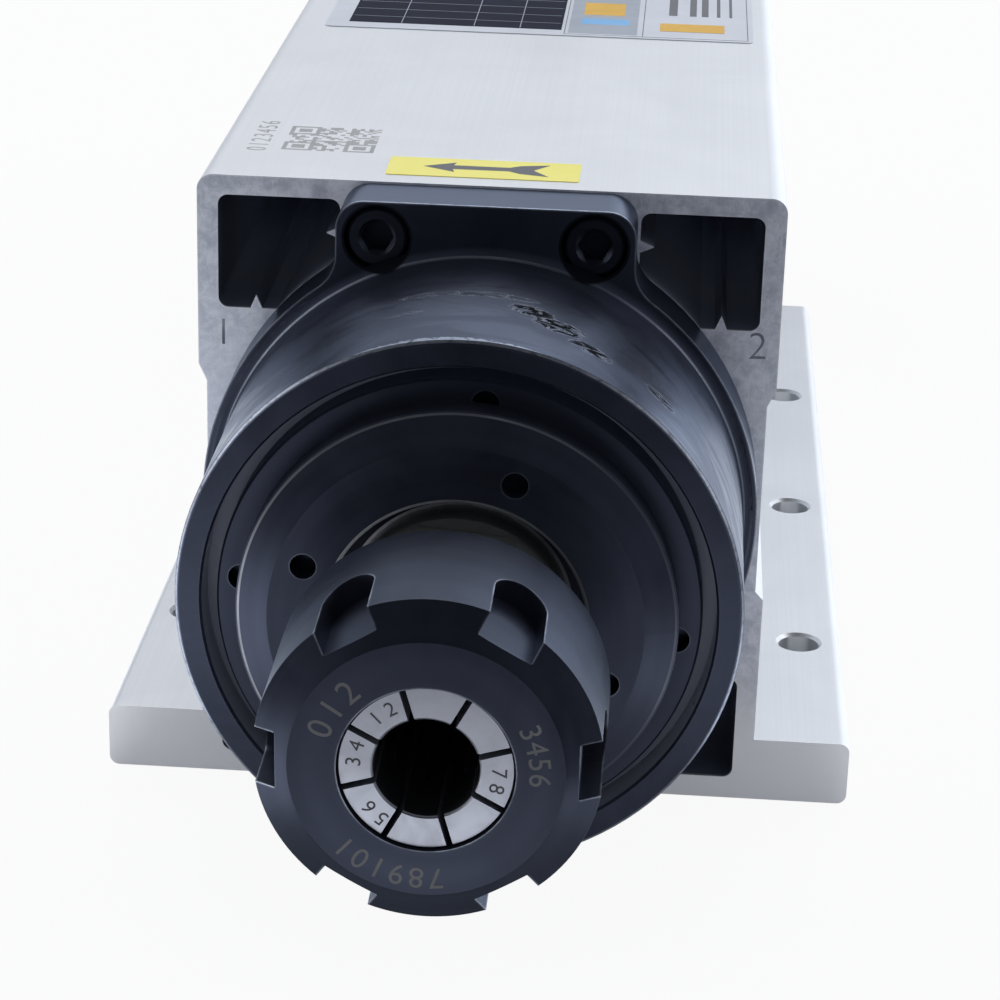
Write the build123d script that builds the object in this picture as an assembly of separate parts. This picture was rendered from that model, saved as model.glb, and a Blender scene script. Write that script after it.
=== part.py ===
from build123d import *
import math
import os

# Air-cooled motor spindle: an extruded body with a mounting base, a turned nose
# that holds a tool in a tapered collet, and a cooling fan in a cowl at the rear.
# Millimetres, +Z up, spindle axis along Y with the nose towards -Y. The origin is
# the middle of the base's underside. A "station" is a distance along the axis
# from the body's front face: negative in the nose, positive towards the fan.

# ---------------------------------------------------------------- clearances
fit_gap = 0.02
thread_gap = 0.05
taper_gap = 0.05
running_gap = 0.3
ball_gap = 0.05
pocket_gap = 0.2
rotor_air_gap = 0.5
winding_gap = 0.1
overcut = 1.0
touch = 0.01

# ---------------------------------------------------------------- body extrusion
body_length = 215.5
body_width = 84.0
body_height = 94.5
axis_height = 49.0
top_corner_radius = 2.3
base_flange = 14.5
base_thickness = 10.0
base_corner_radius = 1.5
stator_bore_radius = 37.0
bore_wall = 3.0
side_wall = 3.0
top_wall = 2.9
bottom_wall = 3.5
web_half_width = 21.4
upper_channel_floor = 25.8
lower_channel_ceiling = 29.0
channel_corner_radius = 1.5
rib_width = 2.6
rib_height = 2.0
floor_rib_inset = 8.5
web_rib_height = 37.6
side_recess_depth = 1.2
side_recess_top = 17.0
side_recess_bottom = 16.0
side_recess_slope = 2.6

# ---------------------------------------------------------------- base holes
base_hole_offset = 7.7
base_hole_first = 36.8
base_hole_pitch = 60.0
base_hole_count = 3
base_hole_radius = 3.25
base_hole_chamfer = 0.5

# ---------------------------------------------------------------- end plates
plate_radius = 40.0
tab_half_width = 21.0
tab_reach = 45.2
tab_corner_radius = 4.0
tab_root_radius = 6.0
front_plate_thickness = 9.5
rear_plate_thickness = 12.0
spigot_length = 8.0
spigot_wall = 6.0
spigot_web = 2.0
front_screw_x = 15.2
front_screw_height = 39.95
rear_screw_x = 15.6
rear_screw_height = 38.4
cover_side_height = 20.0

# ---------------------------------------------------------------- cap screws
cap_screw_radius = 2.5
cap_screw_head_radius = 4.25
cap_screw_head_height = 5.0
cap_screw_flats = 4.0
cap_screw_socket_depth = 2.75
cap_screw_socket_mouth = 2.65
cap_screw_edge = 0.4
screw_engagement = 14.0
screw_hole_extra = 3.0
counterbore_gap = 0.35
counterbore_sink = 0.5

# ---------------------------------------------------------------- nose
nose_radius = 37.9
nose_length = 46.2
nose_root_radius = 1.5
nose_edge_chamfer = 0.5
nose_wall = 3.6
recess_depth = 5.7
ring_edge = 0.3
gland_groove = 1.9
gland_thickness = 4.4
gland_thread_wall = 2.5
gland_thread_length = 4.5
gland_lip_length = 2.0
gland_hole_radius = 1.8
gland_hole_inset = 3.2
gland_hole_depth = 3.0
gland_hole_angle = 84.3
cap_inset = 3.1
cap_edge_height = 3.8
cap_cone_height = 1.9
cap_cone_width = 4.4
cap_bore_chamfer = 0.4
cap_thread_radius = 21.5
cap_thread_length = 3.9
cap_hole_radius = 1.75
cap_hole_circle = 21.4
cap_hole_depth = 3.5
cap_hole_angle = 70.0
spanner_holes = 4
flinger_step = 1.2
flinger_collar_length = 1.0
flinger_grooves = 3
flinger_groove_width = 0.8
flinger_groove_depth = 1.0

# ---------------------------------------------------------------- bearings
front_bore_radius = 12.5
front_outer_radius = 23.5
rear_bore_radius = 10.0
rear_outer_radius = 21.0
bearing_width = 12.0
ball_radius = 3.175
front_ball_count = 12
rear_ball_count = 9
ring_share = 0.3
cage_rail = 1.2
cage_inner_gap = 0.9
bearing_spacer_length = 4.0
housing_shoulder_width = 3.0
locknut_radius = 18.5
locknut_length = 8.0
locknut_chamfer = 1.0
locknut_clearance = 2.0
locknut_slot_width = 4.0
locknut_slot_depth = 2.0
locknut_slots = 4

# ---------------------------------------------------------------- collet and nut
collet_length = 34.0
collet_bore_radius = 6.35
collet_bore_chamfer = 0.3
collet_cone_length = 3.4
collet_cone_angle = 30.0
collet_rim_drop = 0.64
collet_rim_width = 0.8
collet_groove_depth = 1.16
collet_groove_width = 2.2
collet_radius = 13.0
collet_taper_angle = 8.0
collet_slits = 8
collet_slit_width = 0.8
collet_slit_rest = 6.0
collet_slit_angle = 16.7
collet_standout = 8.8
nut_radius = 21.0
nut_length = 24.2
nut_face_standout = 0.6
nut_chamfer_length = 2.6
nut_chamfer_height = 4.44
nut_edge_chamfer = 0.5
thread_chamfer = 0.5
nut_thread_radius = 16.0
nut_thread_start = 7.2
nut_lip_play = 0.25
nut_slots = 6
nut_slot_width = 7.2
nut_slot_depth = 2.9
nut_slot_length = 14.15
nut_slot_angle = 0.7

# ---------------------------------------------------------------- shaft
shaft_front = 83.2
collar_radius = 14.9
shoulder_station = -45.0
thread_length = 12.5
flat_width = 26.4
flat_collar_length = 5.0
flat_angle = 4.2
rotor_seat_radius = 12.2
rear_neck_radius = 11.8
fan_seat_radius = 8.0
socket_end_clearance = 6.0
centre_bore_radius = 5.0
centre_bore_end = 20.0
shaft_edge_chamfer = 0.8

# ---------------------------------------------------------------- motor
rotor_start = 45.0
motor_rear_space = 60.5
rotor_radius = 21.5
rotor_bars = 18
rotor_bar_radius = 1.6
rotor_bar_circle = 18.6
end_ring_length = 6.0
end_ring_inner_radius = 16.0
end_ring_drop = 0.5
stator_slots = 18
stator_tooth_tip = 2.0
stator_yoke = 6.0
slot_width = 4.6
slot_mouth_width = 2.0
end_winding_length = 16.0
end_winding_inner_gap = 2.1
end_winding_outer_gap = 4.0
end_winding_round = 2.2
slot_overhang = 4.0

# ---------------------------------------------------------------- rear end
rear_hub_wall = 5.0
rear_hub_overhang = 2.0
pocket_floor = 0.5
spring_height = 1.0
spring_thickness = 0.6
circlip_thickness = 1.2
circlip_radius = 11.8
circlip_groove_depth = 0.5
circlip_opening = 60.0
circlip_clearance = 1.0
fan_gap = 4.0
fan_hub_radius = 13.0
fan_hub_length = 20.0
fan_hub_chamfer = 1.0
fan_shaft_gap = 0.5
fan_radius = 37.0
fan_blades = 7
blade_chord = 19.0
blade_root_depth = 1.5
blade_root_thickness = 2.6
blade_tip_thickness = 1.6
blade_root_pitch = 38.0
blade_tip_pitch = 62.0
fan_washer_radius = 11.0
fan_washer_thickness = 1.5
fan_screw_radius = 2.5
fan_screw_head_radius = 4.5
fan_screw_head_height = 3.5
fan_screw_length = 12.0
cowl_wall = 2.0
cowl_length = 50.0
cowl_base_gap = 1.0
cowl_corner_radius = 3.5
grille_first_radius = 15.0
grille_pitch = 5.0
grille_rings = 5
grille_slot_width = 3.0
grille_spokes = 4
grille_spoke_width = 4.0
cowl_screw_radius = 2.0
cowl_screw_head_radius = 3.6
cowl_screw_head_height = 2.2
cowl_screw_length = 9.0

# ---------------------------------------------------------------- power inlet
inlet_setback = 20.5
inlet_hole_radius = 8.0
inlet_flange_width = 23.6
inlet_flange_thickness = 2.5
inlet_gasket_thickness = 1.0
inlet_barrel_radius = 8.8
inlet_barrel_height = 14.0
inlet_barrel_wall = 1.6
inlet_insert_height = 8.0
inlet_spigot_depth = 5.0
inlet_pin_radius = 0.9
inlet_pin_circle = 3.8
inlet_pin_count = 4
inlet_pin_angle = 45.0
inlet_pin_standout = 4.5
inlet_screw_spacing = 17.4
inlet_screw_radius = 1.5
inlet_screw_head_radius = 2.6
inlet_screw_head_height = 1.6
inlet_screw_length = 6.0
button_socket_share = 0.6

# ---------------------------------------------------------------- derived radii
front_ring_inside = front_bore_radius + ring_share * (front_outer_radius - front_bore_radius)
flinger_radius = front_ring_inside + flinger_step
cap_bore_radius = flinger_radius + running_gap
gland_recess_radius = nose_radius - nose_wall
gland_radius = gland_recess_radius - gland_groove
gland_hole_circle = gland_radius - gland_hole_inset
gland_thread_radius = front_outer_radius + gland_thread_wall
cap_radius = gland_radius - cap_inset
cap_face_radius = cap_radius - cap_cone_width
housing_shoulder_radius = front_outer_radius - housing_shoulder_width
collet_rim_radius = collet_radius - collet_rim_drop
collet_mouth_radius = collet_rim_radius - collet_cone_length * math.tan(math.radians(collet_cone_angle))
collet_groove_radius = collet_rim_radius - collet_groove_depth
nut_face_radius = nut_radius - nut_chamfer_height
nut_slot_floor = nut_radius - nut_slot_depth
stator_inner_radius = rotor_radius + rotor_air_gap
slot_start_radius = stator_inner_radius + stator_tooth_tip
slot_end_radius = stator_bore_radius - stator_yoke
end_winding_inner_radius = rotor_radius + end_winding_inner_gap
end_winding_outer_radius = stator_bore_radius - end_winding_outer_gap
rear_hub_radius = rear_outer_radius + rear_hub_wall

# ---------------------------------------------------------------- derived stations
nose_face = -nose_length
gland_seat = nose_face + recess_depth
gland_face = gland_seat - gland_thickness
bearing_face = gland_seat + gland_thread_length
gland_lip_end = bearing_face - gland_lip_length
front_pair_length = 2 * bearing_width + bearing_spacer_length
housing_shoulder = bearing_face + front_pair_length
locknut_end = housing_shoulder + locknut_length
collet_face = -shaft_front - collet_standout
nut_face = collet_face - nut_face_standout
nut_rear = nut_face + nut_length
thread_end = thread_length - shaft_front
rotor_end = body_length - motor_rear_space
plate_rear = body_length + rear_plate_thickness
front_screw_seat = cap_screw_head_height + counterbore_sink - front_plate_thickness
rear_screw_seat = plate_rear - cap_screw_head_height - counterbore_sink
pocket_end = body_length - pocket_floor
rear_bearing_face = pocket_end - spring_height - bearing_width
fan_start = plate_rear + fan_gap
fan_end = fan_start + fan_hub_length
cowl_end = body_length + cowl_length
inlet_station = body_length - inlet_setback


# ---------------------------------------------------------------- helpers
def on_axis(shape):
    """Lift a shape drawn about the Y axis to the spindle's height."""
    return Pos(0, 0, axis_height) * shape


def turned(*corners):
    """Turn an outline of (radius, station) corners about the spindle axis."""
    return on_axis(revolve(make_face(Polyline(*corners, close=True)), Axis.Y))


def tube(inner, outer, start, end):
    """A plain ring about the spindle axis between two stations."""
    return turned((inner, start), (outer, start), (outer, end), (inner, end))


def disc(radius, start, end):
    """A solid cylinder about the spindle axis between two stations."""
    return tube(0, radius, start, end)


def prism(section, start, end):
    """Run a section, drawn as seen from the nose about the axis, along the spindle."""
    return Pos(0, end, axis_height) * extrude(Plane.XZ * section, end - start)


def pin(x, height, radius, start, end):
    """A cylinder beside the axis and parallel to it."""
    return prism(Pos(x, height) * Circle(radius), start, end)


def turn(angle, shape):
    """Turn a shape about the spindle axis, anticlockwise as seen from the nose."""
    return on_axis(Rot(0, -angle, 0) * Pos(0, 0, -axis_height) * shape)


def around(shape, count, first_angle=0):
    """Copies of a shape at even steps about the spindle axis."""
    return [turn(first_angle + index * 360 / count, shape) for index in range(count)]


def mirrored(section):
    """A section together with its mirror image left of the axis."""
    return section + mirror(section, Plane.YZ)


def corners(x, height):
    """The four places at plus and minus x and height."""
    return [(side * x, level * height) for side in (-1, 1) for level in (-1, 1)]


def hex_socket(flats, depth, start):
    """A hexagonal recess about the Y axis, from a station towards the rear."""
    hexagon = RegularPolygon(flats / 2, 6, major_radius=False)
    return Pos(0, start + depth, 0) * extrude(Plane.XZ * hexagon, depth)


# ---------------------------------------------------------------- body extrusion
def rib(x, height, direction):
    """A small pointed cooling rib, drawn from its middle on a wall."""
    point = make_face(Polyline(
        (-rib_width / 2, -rib_height / 2),
        (rib_width / 2, -rib_height / 2),
        (0, rib_height),
        close=True,
    ))
    return Pos(x, height) * Rot(0, 0, direction) * point


def channel_section():
    """The right-hand pair of air channels, cut back for the bore's wall and the ribs."""
    outer_x = body_width / 2 - side_wall
    top = body_height - top_wall - axis_height
    bottom = bottom_wall - axis_height
    middle_x = (web_half_width + outer_x) / 2
    width = outer_x - web_half_width
    upper = Pos(middle_x, (top + upper_channel_floor) / 2) * RectangleRounded(
        width, top - upper_channel_floor, channel_corner_radius)
    lower = Pos(middle_x, (bottom - lower_channel_ceiling) / 2) * RectangleRounded(
        width, -lower_channel_ceiling - bottom, channel_corner_radius)
    floor_rib_x = body_width / 2 - floor_rib_inset
    ribs = rib(floor_rib_x, upper_channel_floor, 0)
    ribs += rib(web_half_width, web_rib_height, -90)
    ribs += rib(floor_rib_x, -lower_channel_ceiling, 180)
    ribs += rib(web_half_width, -web_rib_height, -90)
    return upper + lower - Circle(stator_bore_radius + bore_wall) - ribs


def side_recess_section():
    """The shallow step down the right-hand side of the body."""
    side = body_width / 2
    return make_face(Polyline(
        (side, side_recess_top),
        (side - side_recess_depth, side_recess_top - side_recess_slope),
        (side - side_recess_depth, side_recess_slope / 2 - side_recess_bottom),
        (side, -side_recess_bottom),
        (side + side_recess_depth, -side_recess_bottom),
        (side + side_recess_depth, side_recess_top),
        close=True,
    ))


def body_section():
    """The extrusion's outline with its bore and four air channels."""
    column = Pos(0, body_height / 2 - axis_height) * Rectangle(body_width, body_height)
    column = fillet(column.vertices().group_by(Axis.Y)[-1], top_corner_radius)
    base = Pos(0, base_thickness / 2 - axis_height) * RectangleRounded(
        body_width + 2 * base_flange, base_thickness, base_corner_radius)
    outline = column + base - mirrored(side_recess_section())
    return outline - mirrored(channel_section()) - Circle(stator_bore_radius)


def base_hole(x, station):
    """One through hole for a base bolt, with a broken edge on top."""
    hole = Pos(x, station, base_thickness / 2) * Cylinder(base_hole_radius, 2 * base_thickness)
    edge = Pos(x, station, base_thickness - base_hole_chamfer / 2) * Cone(
        base_hole_radius, base_hole_radius + base_hole_chamfer, base_hole_chamfer)
    return hole + edge


def body_extrusion():
    body = prism(body_section(), 0, body_length)
    for index in range(base_hole_count):
        for side in (-1, 1):
            x = side * (body_width / 2 + base_hole_offset)
            body -= base_hole(x, base_hole_first + index * base_hole_pitch)
    tapped_radius = cap_screw_radius + fit_gap
    tapped_depth = screw_engagement + screw_hole_extra
    for x, height in corners(front_screw_x, front_screw_height):
        body -= pin(x, height, tapped_radius, 0, tapped_depth)
    for x, height in corners(rear_screw_x, rear_screw_height):
        body -= pin(x, height, tapped_radius, body_length - tapped_depth, body_length)
    drop = body_height - axis_height
    body -= Pos(0, inlet_station, axis_height + drop / 2) * Cylinder(inlet_hole_radius, drop)
    depth = inlet_screw_length - inlet_flange_thickness - inlet_gasket_thickness + overcut
    for x, y in corners(inlet_screw_spacing / 2, inlet_screw_spacing / 2):
        body -= Pos(x, inlet_station + y, body_height - depth / 2) * Cylinder(
            inlet_screw_radius + fit_gap, depth)
    return body


# ---------------------------------------------------------------- front housing
def plate_section(radius, half_width, reach):
    """A round end plate with a square-ended tab above and below."""
    section = Circle(radius) + Rectangle(2 * half_width, 2 * reach)
    tips = section.vertices().filter_by(lambda v: abs(v.Y) > reach - touch)
    section = fillet(tips, tab_corner_radius)
    roots = section.vertices().filter_by(
        lambda v: abs(abs(v.X) - half_width) < touch and abs(v.Y) < radius
        and abs(math.hypot(v.X, v.Y) - radius) < touch)
    return fillet(roots, tab_root_radius)


def screw_passages(places, start, end, seat, face):
    """Clearance holes for cap screws through an end plate, bored out for the heads."""
    shank = cap_screw_radius + running_gap
    head = cap_screw_head_radius + counterbore_gap
    cuts = []
    for x, height in places:
        cuts.append(pin(x, height, shank, start, end))
        cuts.append(pin(x, height, head, min(seat, face), max(seat, face)))
    return cuts


def front_housing():
    """The nose: plate and barrel in one, bored for the gland, the bearings and their shoulder."""
    plate_front = -front_plate_thickness
    housing = prism(plate_section(plate_radius, tab_half_width, tab_reach), plate_front, 0)
    housing += disc(nose_radius, nose_face, plate_front)
    root = housing.edges().filter_by(GeomType.CIRCLE).filter_by(
        lambda e: abs(e.radius - nose_radius) < touch and abs(e.center().Y - plate_front) < touch)
    housing = fillet(root, nose_root_radius)
    housing = chamfer(housing.edges().group_by(Axis.Y)[0], nose_edge_chamfer)
    housing += disc(stator_bore_radius - fit_gap, 0, spigot_length)
    housing -= turned(
        (0, nose_face),
        (gland_recess_radius + ring_edge, nose_face),
        (gland_recess_radius, nose_face + ring_edge),
        (gland_recess_radius, gland_seat),
        (0, gland_seat),
    )
    housing -= disc(gland_thread_radius + fit_gap, gland_seat, bearing_face + thread_chamfer)
    housing -= disc(front_outer_radius + fit_gap, gland_seat, housing_shoulder)
    housing -= disc(housing_shoulder_radius, housing_shoulder, spigot_length)
    housing -= disc(stator_bore_radius - spigot_wall, spigot_web, spigot_length)
    for cut in screw_passages(
            corners(front_screw_x, front_screw_height), plate_front, 0, front_screw_seat, plate_front):
        housing -= cut
    return housing


def cap_screw(length):
    """A socket head cap screw along Y: its head's seat is at station 0, its tip behind."""
    face = -cap_screw_head_height
    head = Pos(0, face / 2, 0) * Rot(90, 0, 0) * Cylinder(cap_screw_head_radius, cap_screw_head_height)
    head = chamfer(head.edges().group_by(Axis.Y)[0], cap_screw_edge)
    shank = Pos(0, length / 2, 0) * Rot(90, 0, 0) * Cylinder(cap_screw_radius, length)
    mouth_depth = cap_screw_socket_mouth - cap_screw_flats / 2
    mouth = Pos(0, face + mouth_depth / 2, 0) * Rot(90, 0, 0) * Cone(
        cap_screw_flats / 2, cap_screw_socket_mouth, mouth_depth)
    return head + shank - hex_socket(cap_screw_flats, cap_screw_socket_depth, face) - mouth


def at_screws(places, screw, seat):
    """Copies of a screw with their heads seated at a station."""
    return Compound([Pos(x, seat, axis_height + height) * screw for x, height in places])


def front_housing_screws():
    screw = cap_screw(screw_engagement - front_screw_seat)
    return at_screws(corners(front_screw_x, front_screw_height), screw, front_screw_seat)


def spanner_sockets(circle, radius, depth, face, first_angle):
    """Blind pin-spanner holes in the front face of a ring."""
    hole = pin(circle, 0, radius, face - overcut, face + depth)
    return around(hole, spanner_holes, first_angle)


def bearing_gland():
    """The threaded ring that clamps the front bearings in the nose."""
    ring = turned(
        (cap_thread_radius + fit_gap, gland_face),
        (gland_radius - ring_edge, gland_face),
        (gland_radius, gland_face + ring_edge),
        (gland_radius, gland_seat),
        (gland_thread_radius, gland_seat),
        (gland_thread_radius, bearing_face),
        (housing_shoulder_radius, bearing_face),
        (housing_shoulder_radius, gland_lip_end),
        (cap_bore_radius, gland_lip_end),
        (cap_bore_radius, gland_face + cap_thread_length),
        (cap_thread_radius + fit_gap, gland_face + cap_thread_length),
    )
    for hole in spanner_sockets(
            gland_hole_circle, gland_hole_radius, gland_hole_depth, gland_face, gland_hole_angle):
        ring -= hole
    return ring


def dust_cap():
    """The coned cap screwed into the gland, around the shaft with a small gap."""
    edge = gland_face - cap_edge_height
    face = edge - cap_cone_height
    cap = turned(
        (cap_bore_radius + cap_bore_chamfer, face),
        (cap_face_radius, face),
        (cap_radius, edge),
        (cap_radius, gland_face),
        (cap_thread_radius, gland_face),
        (cap_thread_radius, gland_face + cap_thread_length),
        (cap_bore_radius, gland_face + cap_thread_length),
        (cap_bore_radius, face + cap_bore_chamfer),
    )
    for hole in spanner_sockets(cap_hole_circle, cap_hole_radius, cap_hole_depth, face, cap_hole_angle):
        cap -= hole
    return cap


def flinger_ring():
    """The grooved ring that turns inside the cap and gland and throws dust out."""
    inner = front_bore_radius + fit_gap
    step = gland_lip_end - flinger_collar_length
    ring = tube(inner, flinger_radius, shoulder_station, step)
    ring += tube(inner, front_ring_inside, step, bearing_face)
    spacing = (step - shoulder_station) / (flinger_grooves + 1)
    for index in range(flinger_grooves):
        middle = shoulder_station + (index + 1) * spacing
        ring -= tube(flinger_radius - flinger_groove_depth, flinger_radius + overcut,
                     middle - flinger_groove_width / 2, middle + flinger_groove_width / 2)
    return ring


# ---------------------------------------------------------------- bearings
def ring_limits(bore, outer):
    """Pitch radius, inner ring's outside and outer ring's inside of a bearing."""
    share = ring_share * (outer - bore)
    return (bore + outer) / 2, bore + share, outer - share


def raceway(pitch, station):
    """The groove that the balls run in."""
    groove = Torus(pitch, ball_radius + ball_gap)
    return Pos(0, station + bearing_width / 2, axis_height) * Rot(90, 0, 0) * groove


def inner_ring(bore, outer, station):
    pitch, inside, _ = ring_limits(bore, outer)
    return tube(bore + fit_gap, inside, station, station + bearing_width) - raceway(pitch, station)


def outer_ring(bore, outer, station):
    pitch, _, outside = ring_limits(bore, outer)
    return tube(outside, outer, station, station + bearing_width) - raceway(pitch, station)


def ball_set(bore, outer, count, station):
    pitch, _, _ = ring_limits(bore, outer)
    ball = Pos(pitch, station + bearing_width / 2, axis_height) * Sphere(ball_radius)
    return around(ball, count)


def cage(bore, outer, count, station):
    """A machined cage: a ring with a round pocket for each ball."""
    pitch, inside, outside = ring_limits(bore, outer)
    reach = ball_radius + pocket_gap + cage_rail
    middle = station + bearing_width / 2
    ring = tube(inside + cage_inner_gap, outside - running_gap, middle - reach, middle + reach)
    pocket = Pos(pitch, middle, axis_height) * Rot(0, 90, 0) * Cylinder(
        ball_radius + pocket_gap, outer - bore)
    for cut in around(pocket, count):
        ring -= cut
    return ring


def front_stations():
    """Where the two front bearings start."""
    return [bearing_face, bearing_face + bearing_width + bearing_spacer_length]


def front_set(maker, *extra):
    """Both front bearings' copies of one kind of bearing piece."""
    sizes = (front_bore_radius, front_outer_radius, *extra)
    return [maker(*sizes, station) for station in front_stations()]


def front_bearing_balls():
    rows = front_set(ball_set, front_ball_count)
    return Compound(rows[0] + rows[1])


def bearing_spacers():
    """The inner and outer spacers between the two front bearings."""
    _, inside, outside = ring_limits(front_bore_radius, front_outer_radius)
    start = bearing_face + bearing_width
    end = start + bearing_spacer_length
    inner = tube(front_bore_radius + fit_gap, inside, start, end)
    outer = tube(outside, front_outer_radius, start, end)
    return inner, outer


def shaft_locknut():
    start = housing_shoulder
    nut = tube(front_bore_radius + thread_gap, locknut_radius, start, locknut_end)
    nut = chamfer(nut.edges().group_by(Axis.Y)[-1].sort_by(SortBy.RADIUS)[-1:], locknut_chamfer)
    slot = Pos(locknut_radius, start + locknut_length / 2, axis_height) * Box(
        2 * locknut_slot_depth, locknut_length, locknut_slot_width)
    for cut in around(slot, locknut_slots):
        nut -= cut
    return nut


# ---------------------------------------------------------------- collet and nut
def cone_rise(length):
    """How far the collet's front cone opens over a length."""
    return length * math.tan(math.radians(collet_cone_angle))


def taper_fall(length):
    """How far the collet's long taper closes over a length."""
    return length * math.tan(math.radians(collet_taper_angle))


def collet_slit(start, end, angle):
    """One radial saw cut from the bore outwards."""
    reach = collet_radius + overcut
    cut = Pos(reach / 2, (start + end) / 2, axis_height) * Box(reach, end - start, collet_slit_width)
    return turn(angle, cut)


def collet():
    """The spring collet: front cone, snap groove, long taper and saw cuts from both ends."""
    face = collet_face
    rim_start = face + collet_cone_length
    groove_start = rim_start + collet_rim_width
    taper_start = groove_start + collet_groove_width
    rear = face + collet_length
    body = turned(
        (collet_bore_radius + collet_bore_chamfer, face),
        (collet_mouth_radius, face),
        (collet_rim_radius, rim_start),
        (collet_rim_radius, groove_start),
        (collet_groove_radius, groove_start),
        (collet_groove_radius, taper_start),
        (collet_radius, taper_start),
        (collet_radius - taper_fall(rear - taper_start), rear),
        (collet_bore_radius, rear),
        (collet_bore_radius, face + collet_bore_chamfer),
    )
    step = 360 / collet_slits
    for index in range(collet_slits):
        angle = collet_slit_angle + index * step
        body -= collet_slit(face - overcut, rear - collet_slit_rest, angle)
        body -= collet_slit(taper_start + collet_slit_rest / 2, rear + overcut, angle + step / 2)
    return body


def nut_slot():
    """One spanner slot: open at the front, rounded at its inner end."""
    round_radius = nut_slot_width / 2
    end_station = nut_face + nut_slot_length - round_radius
    height = nut_slot_depth + overcut
    x = nut_slot_floor + height / 2
    start = nut_face - overcut
    run = Pos(x, (start + end_station) / 2, axis_height) * Box(
        height, end_station - start, nut_slot_width)
    rounding = Pos(x, end_station, axis_height) * Rot(0, 90, 0) * Cylinder(round_radius, height)
    return run + rounding


def collet_nut():
    """The nut whose inner cone closes the collet, with a lip in the collet's groove."""
    face = collet_face
    play = running_gap
    cone_gap = cone_rise(2 * taper_gap)
    cone_end = face + collet_cone_length - play
    groove_start = face + collet_cone_length + collet_rim_width
    groove_end = groove_start + collet_groove_width
    mouth = collet_mouth_radius + play
    cone_start = face + (play - cone_gap) / cone_rise(1)
    rim = collet_rim_radius + play
    thread = nut_thread_radius + thread_gap
    thread_start = nut_face + nut_thread_start + nut_face_standout
    nut = turned(
        (mouth, nut_face),
        (nut_face_radius, nut_face),
        (nut_radius, nut_face + nut_chamfer_length),
        (nut_radius, nut_rear - nut_edge_chamfer),
        (nut_radius - nut_edge_chamfer, nut_rear),
        (thread + thread_chamfer, nut_rear),
        (thread, nut_rear - thread_chamfer),
        (thread, thread_start),
        (collet_radius + play, thread_start),
        (collet_radius + play, groove_end - nut_lip_play),
        (collet_groove_radius + play, groove_end - nut_lip_play),
        (collet_groove_radius + play, groove_start + nut_lip_play),
        (rim, groove_start + nut_lip_play),
        (rim, cone_end + play),
        (collet_mouth_radius + cone_rise(cone_end - face) + cone_gap, cone_end),
        (mouth, cone_start),
    )
    for cut in around(nut_slot(), nut_slots, nut_slot_angle):
        nut -= cut
    return nut


# ---------------------------------------------------------------- shaft
def shaft_socket():
    """The tapered seat for the collet, with a space behind it and a centre bore."""
    taper_start = collet_face + collet_cone_length + collet_rim_width + collet_groove_width
    rear = collet_face + collet_length
    mouth = collet_radius - taper_fall(-shaft_front - taper_start) + taper_gap
    deep = collet_radius - taper_fall(rear - taper_start) + taper_gap
    end = rear + socket_end_clearance
    return turned(
        (0, -shaft_front - overcut),
        (mouth + taper_fall(overcut), -shaft_front - overcut),
        (deep, rear),
        (deep, end),
        (centre_bore_radius, end + deep - centre_bore_radius),
        (centre_bore_radius, centre_bore_end),
        (0, centre_bore_end + centre_bore_radius),
    )


def wrench_flats():
    """Two parallel flats across the collar, just behind the nut."""
    start = thread_end
    end = shoulder_station - flat_collar_length
    reach = collar_radius + overcut
    depth = reach - flat_width / 2
    cuts = []
    for side in (-1, 1):
        height = axis_height + side * (flat_width + depth) / 2
        cut = Pos(0, (start + end) / 2, height) * Box(2 * reach, end - start, depth)
        cuts.append(turn(-flat_angle, cut))
    return cuts


def spindle_shaft():
    shaft_end = fan_end - fan_shaft_gap
    edge = shaft_edge_chamfer
    thread = nut_thread_radius - thread_gap
    front = -shaft_front
    shaft = turned(
        (0, front),
        (thread - edge, front),
        (thread, front + edge),
        (thread, thread_end - thread_chamfer),
        (collar_radius, thread_end),
        (collar_radius, shoulder_station),
        (front_bore_radius, shoulder_station),
        (front_bore_radius, locknut_end + locknut_clearance),
        (rotor_seat_radius, locknut_end + locknut_clearance),
        (rotor_seat_radius, rotor_end),
        (rear_neck_radius, rotor_end),
        (rear_neck_radius, rear_bearing_face),
        (rear_bore_radius, rear_bearing_face),
        (rear_bore_radius, fan_start),
        (fan_seat_radius, fan_start),
        (fan_seat_radius, shaft_end),
        (0, shaft_end),
    )
    shaft -= shaft_socket()
    for cut in wrench_flats():
        shaft -= cut
    groove = rear_bearing_face + bearing_width
    shaft -= tube(rear_bore_radius - circlip_groove_depth, rear_bore_radius + overcut,
                  groove, groove + circlip_thickness)
    tapped_start = shaft_end - fan_screw_length - overcut
    return shaft - disc(fan_screw_radius + fit_gap, tapped_start, shaft_end)


# ---------------------------------------------------------------- motor
def rotor_core():
    core = tube(rotor_seat_radius + fit_gap, rotor_radius, rotor_start, rotor_end)
    bar = pin(rotor_bar_circle, 0, rotor_bar_radius + fit_gap, rotor_start, rotor_end)
    for cut in around(bar, rotor_bars):
        core -= cut
    return core


def rotor_cage():
    """Cast bars through the core, joined by an end ring at each end."""
    start = rotor_start - end_ring_length
    end = rotor_end + end_ring_length
    outer = rotor_radius - end_ring_drop
    cage_body = tube(end_ring_inner_radius, outer, start, rotor_start)
    cage_body += tube(end_ring_inner_radius, outer, rotor_end, end)
    bar = pin(rotor_bar_circle, 0, rotor_bar_radius, rotor_start, rotor_end)
    for copy in around(bar, rotor_bars):
        cage_body += copy
    return cage_body


def slot_box(inner, outer, width, start, end):
    """A straight box along the axis between two radii, on the right-hand side."""
    return prism(Pos((inner + outer) / 2, 0) * Rectangle(outer - inner, width), start, end)


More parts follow.
